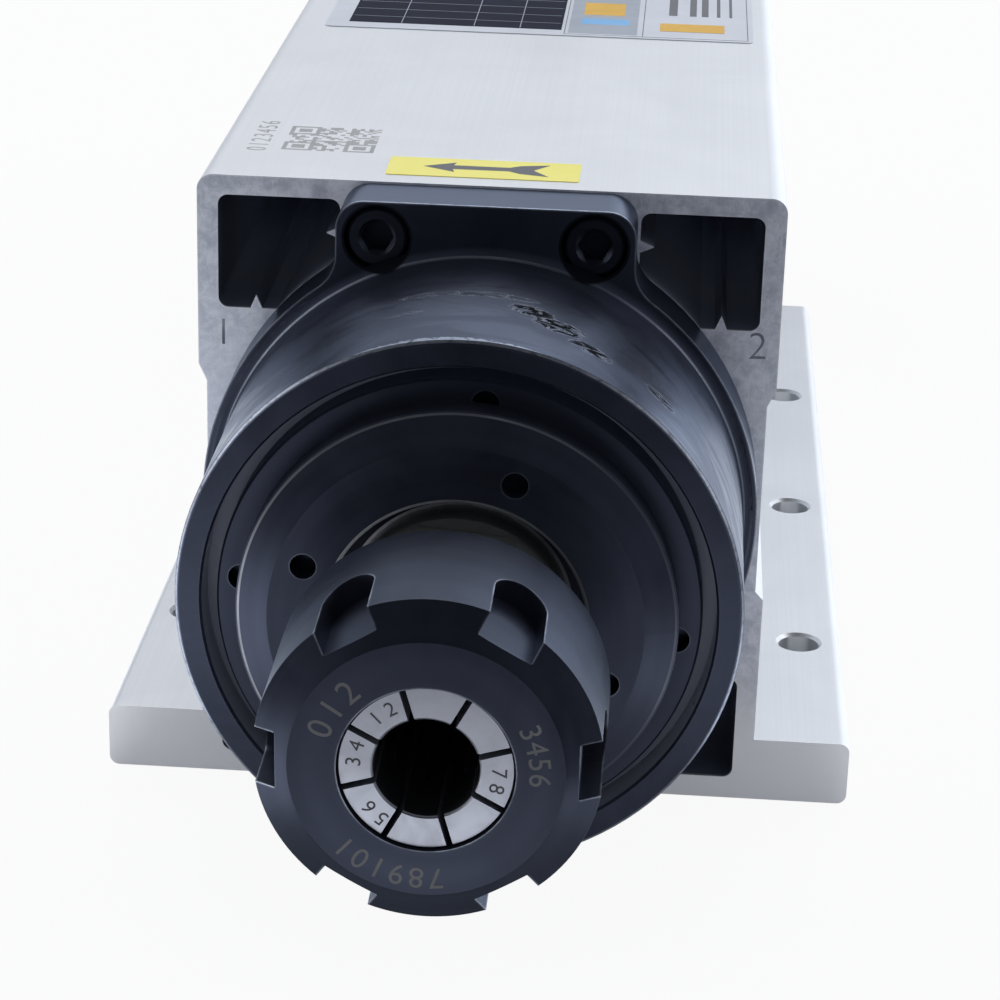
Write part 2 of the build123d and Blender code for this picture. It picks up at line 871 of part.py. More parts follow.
def stator_core():
    core = tube(stator_inner_radius, stator_bore_radius - fit_gap, rotor_start, rotor_end)
    cut = slot_box(slot_start_radius, slot_end_radius, slot_width, rotor_start, rotor_end)
    cut += slot_box(rotor_radius, slot_start_radius, slot_mouth_width, rotor_start, rotor_end)
    for slot in around(cut, stator_slots):
        core -= slot
    return core


def stator_windings():
    """Slot fillings joined by the bundled end turns beyond the core."""
    start = rotor_start - slot_overhang
    end = rotor_end + slot_overhang
    gap = winding_gap
    bundle = end_winding_length - slot_overhang
    wall = end_winding_outer_radius - end_winding_inner_radius
    rounding = min(end_winding_round, wall / 3)
    coils = tube(end_winding_inner_radius, end_winding_outer_radius, start - bundle, start)
    coils = fillet(coils.edges().filter_by(GeomType.CIRCLE), rounding)
    rear = tube(end_winding_inner_radius, end_winding_outer_radius, end, end + bundle)
    coils += fillet(rear.edges().filter_by(GeomType.CIRCLE), rounding)
    bar = slot_box(slot_start_radius + gap, slot_end_radius - gap, slot_width - 2 * gap,
                   start - overcut, end + overcut)
    for filling in around(bar, stator_slots):
        coils += filling
    return coils


# ---------------------------------------------------------------- rear end
def rear_end_cover():
    """The plate that closes the motor at the rear and holds the rear bearing."""
    inset = cowl_wall + fit_gap
    section = plate_section(plate_radius, tab_half_width, body_height - axis_height - inset)
    section += Rectangle(body_width, cover_side_height)
    cover = prism(section & cowl_section(inset), body_length, plate_rear)
    cover += tube(stator_bore_radius - spigot_wall, stator_bore_radius - fit_gap,
                  body_length - spigot_length, body_length)
    hub_start = rear_bearing_face - rear_hub_overhang
    cover += disc(rear_hub_radius, hub_start, body_length)
    cover -= disc(rear_outer_radius + fit_gap, hub_start, pocket_end)
    cover -= disc(rear_bore_radius + running_gap, pocket_end, plate_rear)
    cover -= disc(circlip_radius + circlip_clearance, pocket_end, pocket_end + circlip_thickness)
    for cut in screw_passages(
            corners(rear_screw_x, rear_screw_height), body_length, plate_rear,
            rear_screw_seat, plate_rear):
        cover -= cut
    for cut in cowl_screw_holes():
        cover -= cut
    return cover


def rear_cover_screws():
    screw = cap_screw(screw_engagement + rear_screw_seat - body_length)
    return at_screws(corners(rear_screw_x, rear_screw_height), Rot(0, 0, 180) * screw, rear_screw_seat)


def rear_bearing(maker, *extra):
    """One kind of piece of the rear bearing."""
    return maker(rear_bore_radius, rear_outer_radius, *extra, rear_bearing_face)


def preload_spring():
    """A coned disc spring that pushes the rear bearing's outer ring forward."""
    _, _, outside = ring_limits(rear_bore_radius, rear_outer_radius)
    inner = outside + running_gap
    outer = rear_outer_radius - running_gap
    start = pocket_end - spring_height
    return turned(
        (inner, start),
        (outer, pocket_end - spring_thickness),
        (outer, pocket_end),
        (inner, start + spring_thickness),
    )


def bearing_circlip():
    """The open ring in the shaft's groove behind the rear bearing."""
    start = rear_bearing_face + bearing_width
    clip = tube(rear_bore_radius - circlip_groove_depth + fit_gap, circlip_radius,
                start, start + circlip_thickness)
    reach = 2 * circlip_radius
    half_opening = reach * math.tan(math.radians(circlip_opening / 2))
    wedge = make_face(Polyline((0, 0), (-half_opening, -reach), (half_opening, -reach), close=True))
    return clip - prism(wedge, start, start + circlip_thickness)


def fan_blade():
    """One twisted blade, from inside the hub to the fan's rim."""
    middle = (fan_start + fan_end) / 2
    root = (fan_hub_radius - blade_root_depth, blade_root_thickness, blade_root_pitch)
    tip = (fan_radius + overcut, blade_tip_thickness, blade_tip_pitch)
    sections = []
    for radius, thickness, pitch in (root, tip):
        place = Plane(origin=(radius, middle, axis_height), x_dir=(0, 1, 0), z_dir=(1, 0, 0))
        sections.append(place * Rot(0, 0, pitch) * Rectangle(blade_chord, thickness))
    return loft(sections) & disc(fan_radius, fan_start, fan_end)


def fan_impeller():
    hub = disc(fan_hub_radius, fan_start, fan_end)
    fan = chamfer(hub.edges().group_by(Axis.Y)[-1], fan_hub_chamfer)
    for blade in around(fan_blade(), fan_blades):
        fan += blade
    return fan - disc(fan_seat_radius + fit_gap, fan_start, fan_end)


def fan_washer():
    return tube(fan_screw_radius + fit_gap, fan_washer_radius, fan_end, fan_end + fan_washer_thickness)


def fan_screw():
    """The screw in the shaft's end that clamps the fan through its washer."""
    seat = fan_end + fan_washer_thickness
    head_end = seat + fan_screw_head_height
    head = disc(fan_screw_head_radius, seat, head_end)
    head = fillet(head.edges().group_by(Axis.Y)[-1], fan_screw_head_height / 3)
    socket = on_axis(hex_socket(fan_screw_head_radius, fan_screw_head_height / 2,
                                head_end - fan_screw_head_height / 2))
    return head + disc(fan_screw_radius, seat - fan_screw_length, seat) - socket


def cowl_section(inset):
    """The cowl's rounded outline, or its inside when inset by the wall."""
    height = body_height - cowl_base_gap - 2 * inset
    middle = (body_height + cowl_base_gap) / 2 - axis_height
    return Pos(0, middle) * RectangleRounded(
        body_width - 2 * inset, height, cowl_corner_radius - inset)


def grille_section():
    """Rings of curved slots between straight spokes."""
    rings = Sketch()
    for index in range(grille_rings):
        radius = grille_first_radius + index * grille_pitch
        rings += Circle(radius + grille_slot_width / 2) - Circle(radius - grille_slot_width / 2)
    for index in range(grille_spokes):
        rings -= Rot(0, 0, index * 180 / grille_spokes) * Rectangle(2 * body_height, grille_spoke_width)
    return rings


def at_cowl_screws(fixing):
    """Place a fixing, drawn pointing down from its head's seat, at each cowl screw."""
    station = body_length + rear_plate_thickness / 2
    side = body_width / 2
    return [
        Pos(0, station, body_height) * fixing,
        Pos(side, station, axis_height) * Rot(0, 90, 0) * fixing,
        Pos(-side, station, axis_height) * Rot(0, -90, 0) * fixing,
    ]


def cowl_screw_holes():
    depth = cowl_screw_length + overcut
    return at_cowl_screws(Pos(0, 0, -depth / 2) * Cylinder(cowl_screw_radius + fit_gap, depth))


def fan_cowl():
    shell = prism(cowl_section(0), body_length, cowl_end)
    shell = fillet(shell.edges().group_by(Axis.Y)[-1], cowl_wall)
    shell -= prism(cowl_section(cowl_wall), body_length, cowl_end - cowl_wall)
    shell -= prism(grille_section(), cowl_end - cowl_wall, cowl_end)
    for cut in cowl_screw_holes():
        shell -= cut
    return shell


def button_screw(radius, length, head_radius, head_height):
    """A domed socket screw pointing down, its head's seat at the origin."""
    head = Pos(0, 0, head_height / 2) * Cylinder(head_radius, head_height)
    head = fillet(head.edges().group_by(Axis.Z)[-1], head_height / 2)
    shank = Pos(0, 0, -length / 2) * Cylinder(radius, length)
    socket = Pos(0, 0, head_height / 2) * extrude(
        RegularPolygon(radius * button_socket_share, 6, major_radius=False), head_height)
    return head + shank - socket


def cowl_screws():
    return Compound(at_cowl_screws(button_screw(
        cowl_screw_radius, cowl_screw_length, cowl_screw_head_radius, cowl_screw_head_height)))


# ---------------------------------------------------------------- power inlet
def at_inlet(shape):
    """Place a shape, drawn on the body's top face, at the power inlet."""
    return Pos(0, inlet_station, body_height) * shape


def upright(radius, low, high):
    """A cylinder standing on end between two heights."""
    return Pos(0, 0, (low + high) / 2) * Cylinder(radius, high - low)


def inlet_screw_places():
    return corners(inlet_screw_spacing / 2, inlet_screw_spacing / 2)


def inlet_plate(thickness, low):
    """A square plate with its four screw holes."""
    plate = Pos(0, 0, low + thickness / 2) * Box(inlet_flange_width, inlet_flange_width, thickness)
    plate = fillet(plate.edges().filter_by(Axis.Z), inlet_screw_head_radius)
    for x, y in inlet_screw_places():
        plate -= Pos(x, y, 0) * upright(inlet_screw_radius + fit_gap, low, low + thickness)
    return plate


def inlet_gasket():
    gasket = inlet_plate(inlet_gasket_thickness, 0)
    return at_inlet(gasket - upright(inlet_hole_radius, 0, inlet_gasket_thickness))


def inlet_shell():
    """The metal socket body: flange, threaded barrel and a spigot into the hole."""
    seat = inlet_gasket_thickness
    top = seat + inlet_flange_thickness + inlet_barrel_height
    shell = inlet_plate(inlet_flange_thickness, seat)
    barrel = upright(inlet_barrel_radius, seat, top)
    shell += chamfer(barrel.edges().group_by(Axis.Z)[-1], inlet_barrel_wall / 2)
    shell += upright(inlet_hole_radius - fit_gap, -inlet_spigot_depth, seat)
    return at_inlet(shell - upright(inlet_hole_radius - inlet_barrel_wall, -inlet_spigot_depth, top))


def inlet_pin_shape(radius, low, high):
    """The ring of contact pins, or of the holes that they stand in."""
    post = Pos(inlet_pin_circle, 0, 0) * upright(radius, low, high)
    step = 360 / inlet_pin_count
    return [Rot(0, 0, inlet_pin_angle + index * step) * post for index in range(inlet_pin_count)]


def inlet_insert():
    """The insulating disc that holds the pins, with a polarising key."""
    radius = inlet_hole_radius - inlet_barrel_wall - fit_gap
    insert = upright(radius, -inlet_spigot_depth, inlet_insert_height)
    for hole in inlet_pin_shape(inlet_pin_radius + fit_gap, -inlet_spigot_depth, inlet_insert_height):
        insert -= hole
    return at_inlet(insert)


def inlet_pins():
    low = -inlet_spigot_depth - inlet_pin_standout
    high = inlet_insert_height + inlet_pin_standout
    return Compound([at_inlet(post) for post in inlet_pin_shape(inlet_pin_radius, low, high)])


def inlet_screws():
    seat = inlet_gasket_thickness + inlet_flange_thickness
    screw = button_screw(
        inlet_screw_radius, inlet_screw_length, inlet_screw_head_radius, inlet_screw_head_height)
    return Compound([at_inlet(Pos(x, y, seat) * screw) for x, y in inlet_screw_places()])


# ---------------------------------------------------------------- every piece
def all_parts():
    inner_spacer, outer_spacer = bearing_spacers()
    return {
        "body_extrusion": body_extrusion(),
        "front_housing": front_housing(),
        "front_housing_screws": front_housing_screws(),
        "bearing_gland": bearing_gland(),
        "dust_cap": dust_cap(),
        "flinger_ring": flinger_ring(),
        "spindle_shaft": spindle_shaft(),
        "collet": collet(),
        "collet_nut": collet_nut(),
        "front_bearing_outer_rings": Compound(front_set(outer_ring)),
        "front_bearing_inner_rings": Compound(front_set(inner_ring)),
        "front_bearing_cages": Compound(front_set(cage, front_ball_count)),
        "front_bearing_balls": front_bearing_balls(),
        "inner_bearing_spacer": inner_spacer,
        "outer_bearing_spacer": outer_spacer,
        "shaft_locknut": shaft_locknut(),
        "rotor_core": rotor_core(),
        "rotor_cage": rotor_cage(),
        "stator_core": stator_core(),
        "stator_windings": stator_windings(),
        "rear_end_cover": rear_end_cover(),
        "rear_cover_screws": rear_cover_screws(),
        "rear_bearing_outer_ring": rear_bearing(outer_ring),
        "rear_bearing_inner_ring": rear_bearing(inner_ring),
        "rear_bearing_cage": rear_bearing(cage, rear_ball_count),
        "rear_bearing_balls": Compound(rear_bearing(ball_set, rear_ball_count)),
        "preload_spring": preload_spring(),
        "bearing_circlip": bearing_circlip(),
        "fan_impeller": fan_impeller(),
        "fan_washer": fan_washer(),
        "fan_screw": fan_screw(),
        "fan_cowl": fan_cowl(),
        "cowl_screws": cowl_screws(),
        "inlet_gasket": inlet_gasket(),
        "inlet_shell": inlet_shell(),
        "inlet_insert": inlet_insert(),
        "inlet_pins": inlet_pins(),
        "inlet_screws": inlet_screws(),
    }


os.makedirs("parts", exist_ok=True)
to_base_middle = Pos(0, -body_length / 2, 0)
for node, shape in all_parts().items():
    export_step(to_base_middle * shape, f"parts/{node}.step")
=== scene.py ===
# %% [markdown]
# # A motor spindle with its finishes
# A motor spindle is the powered nose of a milling machine: an electric motor in an aluminium body,
# a round steel nose full of bearings, and a nut that closes a collet on the cutter.
# The solids come from the CAD model, already in place and in metres.
# This lesson gives each of them the finish of the real metal, adds the thin stuck-on, printed and
# stamped pieces, and ends with a floor, soft lamps and a camera.

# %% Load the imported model
import math
import random

import bmesh
import bpy
from mathutils import Matrix, Vector


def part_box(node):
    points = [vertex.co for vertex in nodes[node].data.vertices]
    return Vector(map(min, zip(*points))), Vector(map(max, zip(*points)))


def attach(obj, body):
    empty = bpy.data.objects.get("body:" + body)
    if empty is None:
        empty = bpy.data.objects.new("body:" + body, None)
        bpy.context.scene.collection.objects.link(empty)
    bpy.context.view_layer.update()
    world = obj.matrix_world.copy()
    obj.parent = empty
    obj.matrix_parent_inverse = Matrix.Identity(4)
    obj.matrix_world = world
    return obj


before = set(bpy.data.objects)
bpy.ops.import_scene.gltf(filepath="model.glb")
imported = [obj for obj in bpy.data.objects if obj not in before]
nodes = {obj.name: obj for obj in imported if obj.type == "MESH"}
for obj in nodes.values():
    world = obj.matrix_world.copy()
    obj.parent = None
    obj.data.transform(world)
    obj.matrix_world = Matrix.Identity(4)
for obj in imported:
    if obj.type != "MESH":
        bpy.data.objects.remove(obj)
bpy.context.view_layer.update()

# %% [markdown]
# ## Places that everything is measured from
# The spindle turns about a line along Y, 49 mm above the floor.
# Every place along that line is easiest to say as a distance behind the front of the body.
# Reading the boxes of the CAD nodes keeps the added pieces seated if a size changes.

# %% Axis, body front and body top
mm = 0.001
axis_height = 49 * mm
body_low, body_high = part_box("body_extrusion")
front = body_low.y
body_top = body_high.z
nut_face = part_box("collet_nut")[0].y
collet_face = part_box("collet")[0].y
print("body front", round(front, 5), "body top", round(body_top, 5), "nut face", round(nut_face, 5))


# %% [markdown]
# ## A short way to write shader nodes
# A material is a tree of small nodes. Written out in full, each one takes five lines.
# These helpers add a node, fill in its inputs and hand back its result, so that a tree reads
# like a recipe. Most of a finish is masks: numbers from 0 to 1 that say where something shows.

# %% Shader helpers
def put(tree, kind, inputs=None, **settings):
    """Adds a shader node. An input is given a value, or the output of another node."""
    made = tree.nodes.new("ShaderNode" + kind)
    for name, value in settings.items():
        setattr(made, name, value)
    for name, value in (inputs or {}).items():
        if isinstance(value, bpy.types.NodeSocket):
            tree.links.new(value, made.inputs[name])
        else:
            made.inputs[name].default_value = value
    return made


def calc(tree, operation, *values, clamp=False):
    """One step of arithmetic on numbers."""
    return put(tree, "Math", dict(enumerate(values)), operation=operation, use_clamp=clamp).outputs[0]


def times(tree, first, *others):
    """All the values multiplied."""
    for other in others:
        first = calc(tree, "MULTIPLY", first, other)
    return first


def most(tree, first, *others):
    """The largest of the values."""
    for other in others:
        first = calc(tree, "MAXIMUM", first, other)
    return first


def ramp(tree, value, low, high, to_low=0.0, to_high=1.0):
    """A soft step: to_low below low, to_high above high. low may be the larger one."""
    span = {"Value": value, "From Min": low, "From Max": high, "To Min": to_low, "To Max": to_high}
    return put(tree, "MapRange", span, interpolation_type="SMOOTHSTEP").outputs[0]


def opposite(tree, mask):
    """1 where the mask is 0, and 0 where it is 1."""
    return calc(tree, "SUBTRACT", 1.0, mask)


def noise(tree, point, scale, detail, roughness=0.5, distortion=0.0, dimensions="3D"):
    """Cloudy noise between 0 and 1. scale is in clouds per unit of the point."""
    looks = {"Vector": point, "Scale": scale, "Detail": detail, "Roughness": roughness,
             "Distortion": distortion}
    return put(tree, "TexNoise", looks, noise_dimensions=dimensions).outputs[0]


def dye(tree, share, first, second):
    """Mixes two colours: share 0 is the first, 1 the second."""
    return put(tree, "Mix", {0: share, 6: first, 7: second}, data_type="RGBA").outputs[2]


def grey(level, blue=0.0):
    """A neutral colour, cooler where blue is above 0."""
    return (level * (1 - 0.55 * blue), level * (1 - 0.24 * blue), level * (1 + blue), 1.0)


print("shader helpers ready")


# %% [markdown]
# ## Node groups
# Wear, grain and dirt are shared by many metals. Each is a node group, built once, with its own
# named inputs, so that a material only says how much of it there is.
# A group hands out masks and heights. The shader itself stays in the material.

# %% Group helper
def new_group(title, inputs, outputs):
    """An empty node group with number inputs and outputs of the kinds given."""
    tree = bpy.data.node_groups.new(title, "ShaderNodeTree")
    for name, value in inputs.items():
        tree.interface.new_socket(name, in_out="INPUT", socket_type="NodeSocketFloat").default_value = value
    for name, kind in outputs.items():
        tree.interface.new_socket(name, in_out="OUTPUT", socket_type="NodeSocket" + kind)
    return tree, tree.nodes.new("NodeGroupInput").outputs, tree.nodes.new("NodeGroupOutput").inputs


def place(tree, title, **inputs):
    """Puts a finished group into a tree and hands back its outputs."""
    named = {name.replace("_", " "): value for name, value in inputs.items()}
    return put(tree, "Group", named, node_tree=bpy.data.node_groups[title]).outputs


print("group helper ready")

# %% [markdown]
# ### Position about the axis
# A turned part was cut by a tool that moved along its axis or towards it.
# So its marks depend only on the distance from the axis and on the place along it.
# This group gives both in millimetres, and the angle round the axis.

# %% Group: position about the axis
tree, _, result = new_group("axis position", {}, {
    "Point": "Vector", "Radius": "Float", "Along": "Float", "Angle": "Float", "Height": "Float"})
where = put(tree, "TexCoord").outputs["Object"]
centred = put(tree, "VectorMath", {0: where, 1: (0, 0, axis_height)}, operation="SUBTRACT").outputs[0]
point = put(tree, "VectorMath", {0: centred, "Scale": 1 / mm}, operation="SCALE").outputs[0]
x, y, z = put(tree, "SeparateXYZ", {0: point}).outputs
tree.links.new(point, result["Point"])
flat = put(tree, "CombineXYZ", {0: x, 2: z}).outputs[0]
tree.links.new(put(tree, "VectorMath", {0: flat}, operation="LENGTH").outputs["Value"], result["Radius"])
tree.links.new(calc(tree, "SUBTRACT", y, front / mm), result["Along"])
tree.links.new(calc(tree, "ARCTAN2", x, z), result["Angle"])
tree.links.new(z, result["Height"])
print("group", tree.name)

# %% [markdown]
# ### Turned lines
# A lathe tool leaves fine rings on a face and fine rings round a barrel.
# Noise that is stretched along the rings looks the same as a real cut: no two lines are alike.

# %% Group: turned lines
tree, given, result = new_group("turned lines", {"Lines per mm": 3.0}, {"Height": "Float", "Band": "Float"})
turned = place(tree, "axis position")
along_cut = put(tree, "CombineXYZ", {0: turned["Radius"], 1: turned["Along"], 2: 0.0}).outputs[0]
fine = noise(tree, along_cut, given["Lines per mm"], 3.0, dimensions="2D")
broad = noise(tree, along_cut, 0.35, 2.0, dimensions="2D")
tree.links.new(fine, result["Height"])
tree.links.new(ramp(tree, broad, 0.3, 0.7), result["Band"])
print("group", tree.name)

# %% [markdown]
# ### Worn and lit edges
# Handling rubs a dark finish away first at the corners, and bright metal shows there. The same bright band
# is also a painted highlight, for the light that a rounded edge catches.
# Short rays sent into the solid find the far side only near an outer corner, and that gives the mask.
# Noise breaks it up, because wear is never even.

# %% Group: worn and lit edges
tree, given, result = new_group("worn and lit edges", {"Width": 0.0004, "Patches": 0.5, "Strength": 1.0},
                                {"Mask": "Float"})
inside = put(tree, "AmbientOcclusion", {"Distance": given["Width"]}, samples=8, inside=True,
             only_local=True).outputs["AO"]
edge = ramp(tree, opposite(tree, inside), 0.12, 0.55)
point = place(tree, "axis position")["Point"]
patches = noise(tree, point, 0.16, 4.0, roughness=0.65)
kept = ramp(tree, patches, 0.36, 0.62, opposite(tree, given["Patches"]), 1.0)
# wear and painted highlight: 1 along the outer edges
shown = calc(tree, "MULTIPLY", times(tree, edge, kept), given["Strength"], clamp=True)
tree.links.new(shown, result["Mask"])
print("group", tree.name)

# %% [markdown]
# ### Fine scratches
# A scratch is long and thin. The middle line of a stretched noise, where it crosses one half, is thin
# and wanders like one. Three sets at different angles cross each other as real scratches do.

# %% Group: scratches
tree, given, result = new_group("scratches", {"Size": 1.0, "Share": 0.5}, {"Mask": "Float"})
point = place(tree, "axis position")["Point"]
found = None
for turn, stretch, seed in ((0.4, 0.05, 3.0), (1.5, 0.06, 17.0), (2.6, 0.08, 41.0)):
    laid = put(tree, "Mapping", {"Vector": point, "Location": (seed, seed, seed),
                                 "Rotation": (turn, turn * 0.7, turn), "Scale": (1.0, stretch, stretch)})
    scaled = put(tree, "VectorMath", {0: laid.outputs[0], "Scale": given["Size"]}, operation="SCALE")
    wander = noise(tree, scaled.outputs[0], 0.7, 2.0)
    off_line = calc(tree, "ABSOLUTE", calc(tree, "SUBTRACT", wander, 0.5))
    line = ramp(tree, off_line, 0.004, 0.0)
    found = line if found is None else most(tree, found, line)
spread = noise(tree, point, 0.09, 3.0)
limit = calc(tree, "SUBTRACT", 0.85, times(tree, given["Share"], 0.5))
scratched = ramp(tree, spread, limit, calc(tree, "ADD", limit, 0.12))
tree.links.new(times(tree, found, scratched), result["Mask"])
print("group", tree.name)

# %% [markdown]
# ### Smudges, dust, and corner dirt and shade
# Oily steel holds smudges, which change how sharply it shines, and single bright specks of dust.
# Dirt gathers and shade falls where two surfaces meet; rays sent outwards find those corners, and the mask
# paints them darker as dirt and painted shade.

# %% Groups: smudges, specks, and corner dirt and shade
tree, given, result = new_group("smudges", {"Size": 12.0}, {"Shade": "Float"})
point = place(tree, "axis position")["Point"]
clouds_per_mm = calc(tree, "DIVIDE", 1.0, given["Size"])
cloud = noise(tree, point, clouds_per_mm, 6.0, roughness=0.62, distortion=0.8)
tree.links.new(ramp(tree, cloud, 0.3, 0.72), result["Shade"])
print("group", tree.name)

tree, given, result = new_group("specks", {"Spacing": 6.0, "Radius": 0.1}, {"Mask": "Float"})
point = place(tree, "axis position")["Point"]
cells = put(tree, "TexVoronoi", {"Vector": point, "Scale": calc(tree, "DIVIDE", 1.0, given["Spacing"])})
away = times(tree, cells.outputs["Distance"], given["Spacing"])
dot = ramp(tree, calc(tree, "SUBTRACT", away, given["Radius"]), 0.03, 0.0)
chosen = put(tree, "SeparateColor", {0: cells.outputs["Color"]}).outputs[0]
tree.links.new(times(tree, dot, ramp(tree, chosen, 0.5, 0.6)), result["Mask"])
print("group", tree.name)

tree, given, result = new_group("corner dirt and shade", {"Reach": 0.0012}, {"Mask": "Float"})
outside = put(tree, "AmbientOcclusion", {"Distance": given["Reach"]}, samples=8,
              only_local=True).outputs["AO"]
tree.links.new(ramp(tree, opposite(tree, outside), 0.25, 0.85), result["Mask"])
print("group", tree.name)

# %% [markdown]
# ### Which way a surface looks
# An extrusion has a smooth anodised skin, but its ends are cut bare by a milling cutter.
# Both are one solid, so the material asks which way each surface looks.

# %% Group: facing
tree, _, result = new_group("facing", {}, {"End": "Float", "Up": "Float", "Side": "Float"})
nx, ny, nz = put(tree, "SeparateXYZ", {0: put(tree, "TexCoord").outputs["Normal"]}).outputs
tree.links.new(ramp(tree, calc(tree, "ABSOLUTE", ny), 0.8, 0.95), result["End"])
tree.links.new(nz, result["Up"])
tree.links.new(nx, result["Side"])
print("group", tree.name)


# %% [markdown]
# ## Dark steel
# The nose, its rings, the nut and the screws are steel with an oiled black-oxide finish.
# It is nearly black, yet it mirrors its surroundings as metal does. So the shader is mostly metallic
# with a very dark colour, and a pale blue Specular Tint makes it mirror more at a low angle.
# Bright steel shows at worn edges, which also carry a painted highlight, and in scratches. Rims all the way
# round are painted bright as a highlight, stronger on the left.

# %% Material helpers
def begin(title):
    """An empty material and its tree."""
    made = bpy.data.materials.new(title)
    made.use_nodes = True
    made.node_tree.nodes.clear()
    return made, made.node_tree


def finish_shader(tree, bumps, **inputs):
    """Ends a material: the heights become a bumped normal, and the shader takes its inputs.
    bumps is a list of (height, depth in metres). An input's spaces are written as underscores."""
    normal = None
    for height, depth in bumps:
        bump = put(tree, "Bump", {"Height": height, "Distance": depth, "Strength": 1.0})
        if normal is not None:
            tree.links.new(normal, bump.inputs["Normal"])
        normal = bump.outputs[0]
    named = {name.replace("_", " "): value for name, value in inputs.items()}
    shader = put(tree, "BsdfPrincipled", named)
    if normal is not None:
        tree.links.new(normal, shader.inputs["Normal"])
    put(tree, "OutputMaterial", {"Surface": shader.outputs[0]})


print("material helpers ready")

# %% Material: black-oxide steel
bare_and_lit_steel = (0.47, 0.51, 0.60, 1.0)
rim_highlight_colour = (0.82, 0.84, 0.88, 1.0)
oil_sheen = (0.80, 0.88, 1.0, 1.0)
oxide_metal = 0.82


def black_steel(title, shade, wear, scratched, shine=0.34, wear_width=0.35, lines=4.0, highlight_rims=()):
    """Oiled black steel. shine is the roughness where it is clean, and wear_width is in millimetres.
    The rims are a list of (radius, width, share): rings, in millimetres, painted bright as a highlight that
    is stronger on the left."""
    made, tree = begin(title)
    spot = place(tree, "axis position")
    cuts = place(tree, "turned lines", Lines_per_mm=lines)
    smudge = place(tree, "smudges", Size=14.0)["Shade"]
    worn_and_lit = place(tree, "worn and lit edges", Width=wear_width * mm, Patches=0.75, Strength=wear)["Mask"]
    # painted highlight: each rim is a bright ring, stronger on the left where the light falls
    rim_highlight_mask = 0.0
    for radius, width, share in highlight_rims:
        off = calc(tree, "ABSOLUTE", calc(tree, "SUBTRACT", spot["Radius"], radius))
        uneven = times(tree, ramp(tree, smudge, 0.0, 1.0, share, 0.6 * share),
                       ramp(tree, spot["Angle"], 0.1, 0.9, 1.0, 0.3))
        rim = times(tree, ramp(tree, off, width / 2, width / 4), uneven)
        rim_highlight_mask = most(tree, rim_highlight_mask, rim)
    marks = place(tree, "scratches", Size=1.0, Share=scratched)["Mask"]
    colour = dye(tree, cuts["Band"], grey(shade * 0.88, 0.38), grey(shade * 1.12, 0.38))
    colour = dye(tree, times(tree, smudge, 0.5), colour, grey(shade * 1.35, 0.35))
    speck = place(tree, "specks", Spacing=7.0, Radius=0.05)["Mask"]
    marks = most(tree, marks, speck)
    # bright steel: worn edges, which also carry a painted edge highlight, and scratches
    bare_and_lit = most(tree, worn_and_lit, times(tree, marks, 0.45))
    colour = dye(tree, bare_and_lit, colour, bare_and_lit_steel)
    if highlight_rims:
        # painted highlight on the rims
        colour = dye(tree, rim_highlight_mask, colour, rim_highlight_colour)
    roughness = calc(tree, "ADD", shine, times(tree, smudge, 0.12))
    finish_shader(
        tree, [(cuts["Height"], 0.0010 * mm)],
        Base_Color=colour, Metallic=oxide_metal, Roughness=roughness, Specular_Tint=oil_sheen)
    return made


# %% Dark steel for each piece
# radii in millimetres: the dust cap and its bore, and the shaft's collar
cap_low, cap_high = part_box("dust_cap")
cap_radius = (cap_high.x - cap_low.x) / 2 / mm
cap_bore_radius, collar_radius = 17.3, 14.9
nut_steel = black_steel("nut_steel", shade=0.044, wear=0.75, scratched=0.15, shine=0.30, lines=3.0)
gland_steel = black_steel("gland_steel", shade=0.050, wear=0.2, scratched=0.15)
cap_highlight_rims = [(cap_radius - 0.35, 0.4, 0.30), (cap_bore_radius + 0.2, 0.7, 1.0)]
cap_steel = black_steel("cap_steel", shade=0.054, wear=0.35, scratched=0.15, highlight_rims=cap_highlight_rims)
collar_highlight_rim = [(collar_radius + 0.2, 0.6, 1.0)]
flinger_steel = black_steel("flinger_steel", shade=0.030, wear=0.1, scratched=0.1, highlight_rims=collar_highlight_rim)
screw_steel = black_steel("screw_steel", shade=0.034, wear=0.3, scratched=0.1, wear_width=0.25, lines=3.0)
print("materials", nut_steel.name, gland_steel.name, cap_steel.name, screw_steel.name)


# %% [markdown]
# ## The nose barrel
# The barrel of the nose has been in and out of clamps: its top carries flaked dark scuffs and
# long light rubs, and its front edge is chipped. They lie only there, so this finish places them
# by angle and by distance. Each kind of mark is a small helper that hands back a mask.

# %% Where the marks lie
nose_radius, ring_radius = 37.9, 34.3
nose_front = (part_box("front_housing")[0].y - front) / mm
plate_face = -9.5
screw_aside, screw_height, counterbore = 15.2, 39.95, 5.0
# each scuff: angle from the top in degrees, station, reach in degrees, width in mm, darkness
scuffs = ((12, -30, 6, 2.6, 1.0), (18, -33, 7, 3.2, 1.3), (25, -37, 6, 2.6, 1.0), (2, -26, 14, 1.4, 0.3),
          (-10, -26, 7, 1.2, 0.2), (-14, -33, 5, 0.8, 0.2), (42, -37, 5, 2, 0.8))


def patch(tree, spot, angle, along, reach, width):
    """A soft spot on the barrel: 1 in its middle. The angle is in degrees from the top."""
    turn = calc(tree, "SUBTRACT", spot["Angle"], math.radians(angle))
    turn = calc(tree, "DIVIDE", turn, math.radians(reach))
    move = calc(tree, "DIVIDE", calc(tree, "SUBTRACT", spot["Along"], along), width)
    squares = calc(tree, "ADD", times(tree, turn, turn), times(tree, move, move))
    return ramp(tree, calc(tree, "SQRT", squares), 1.0, 0.35)


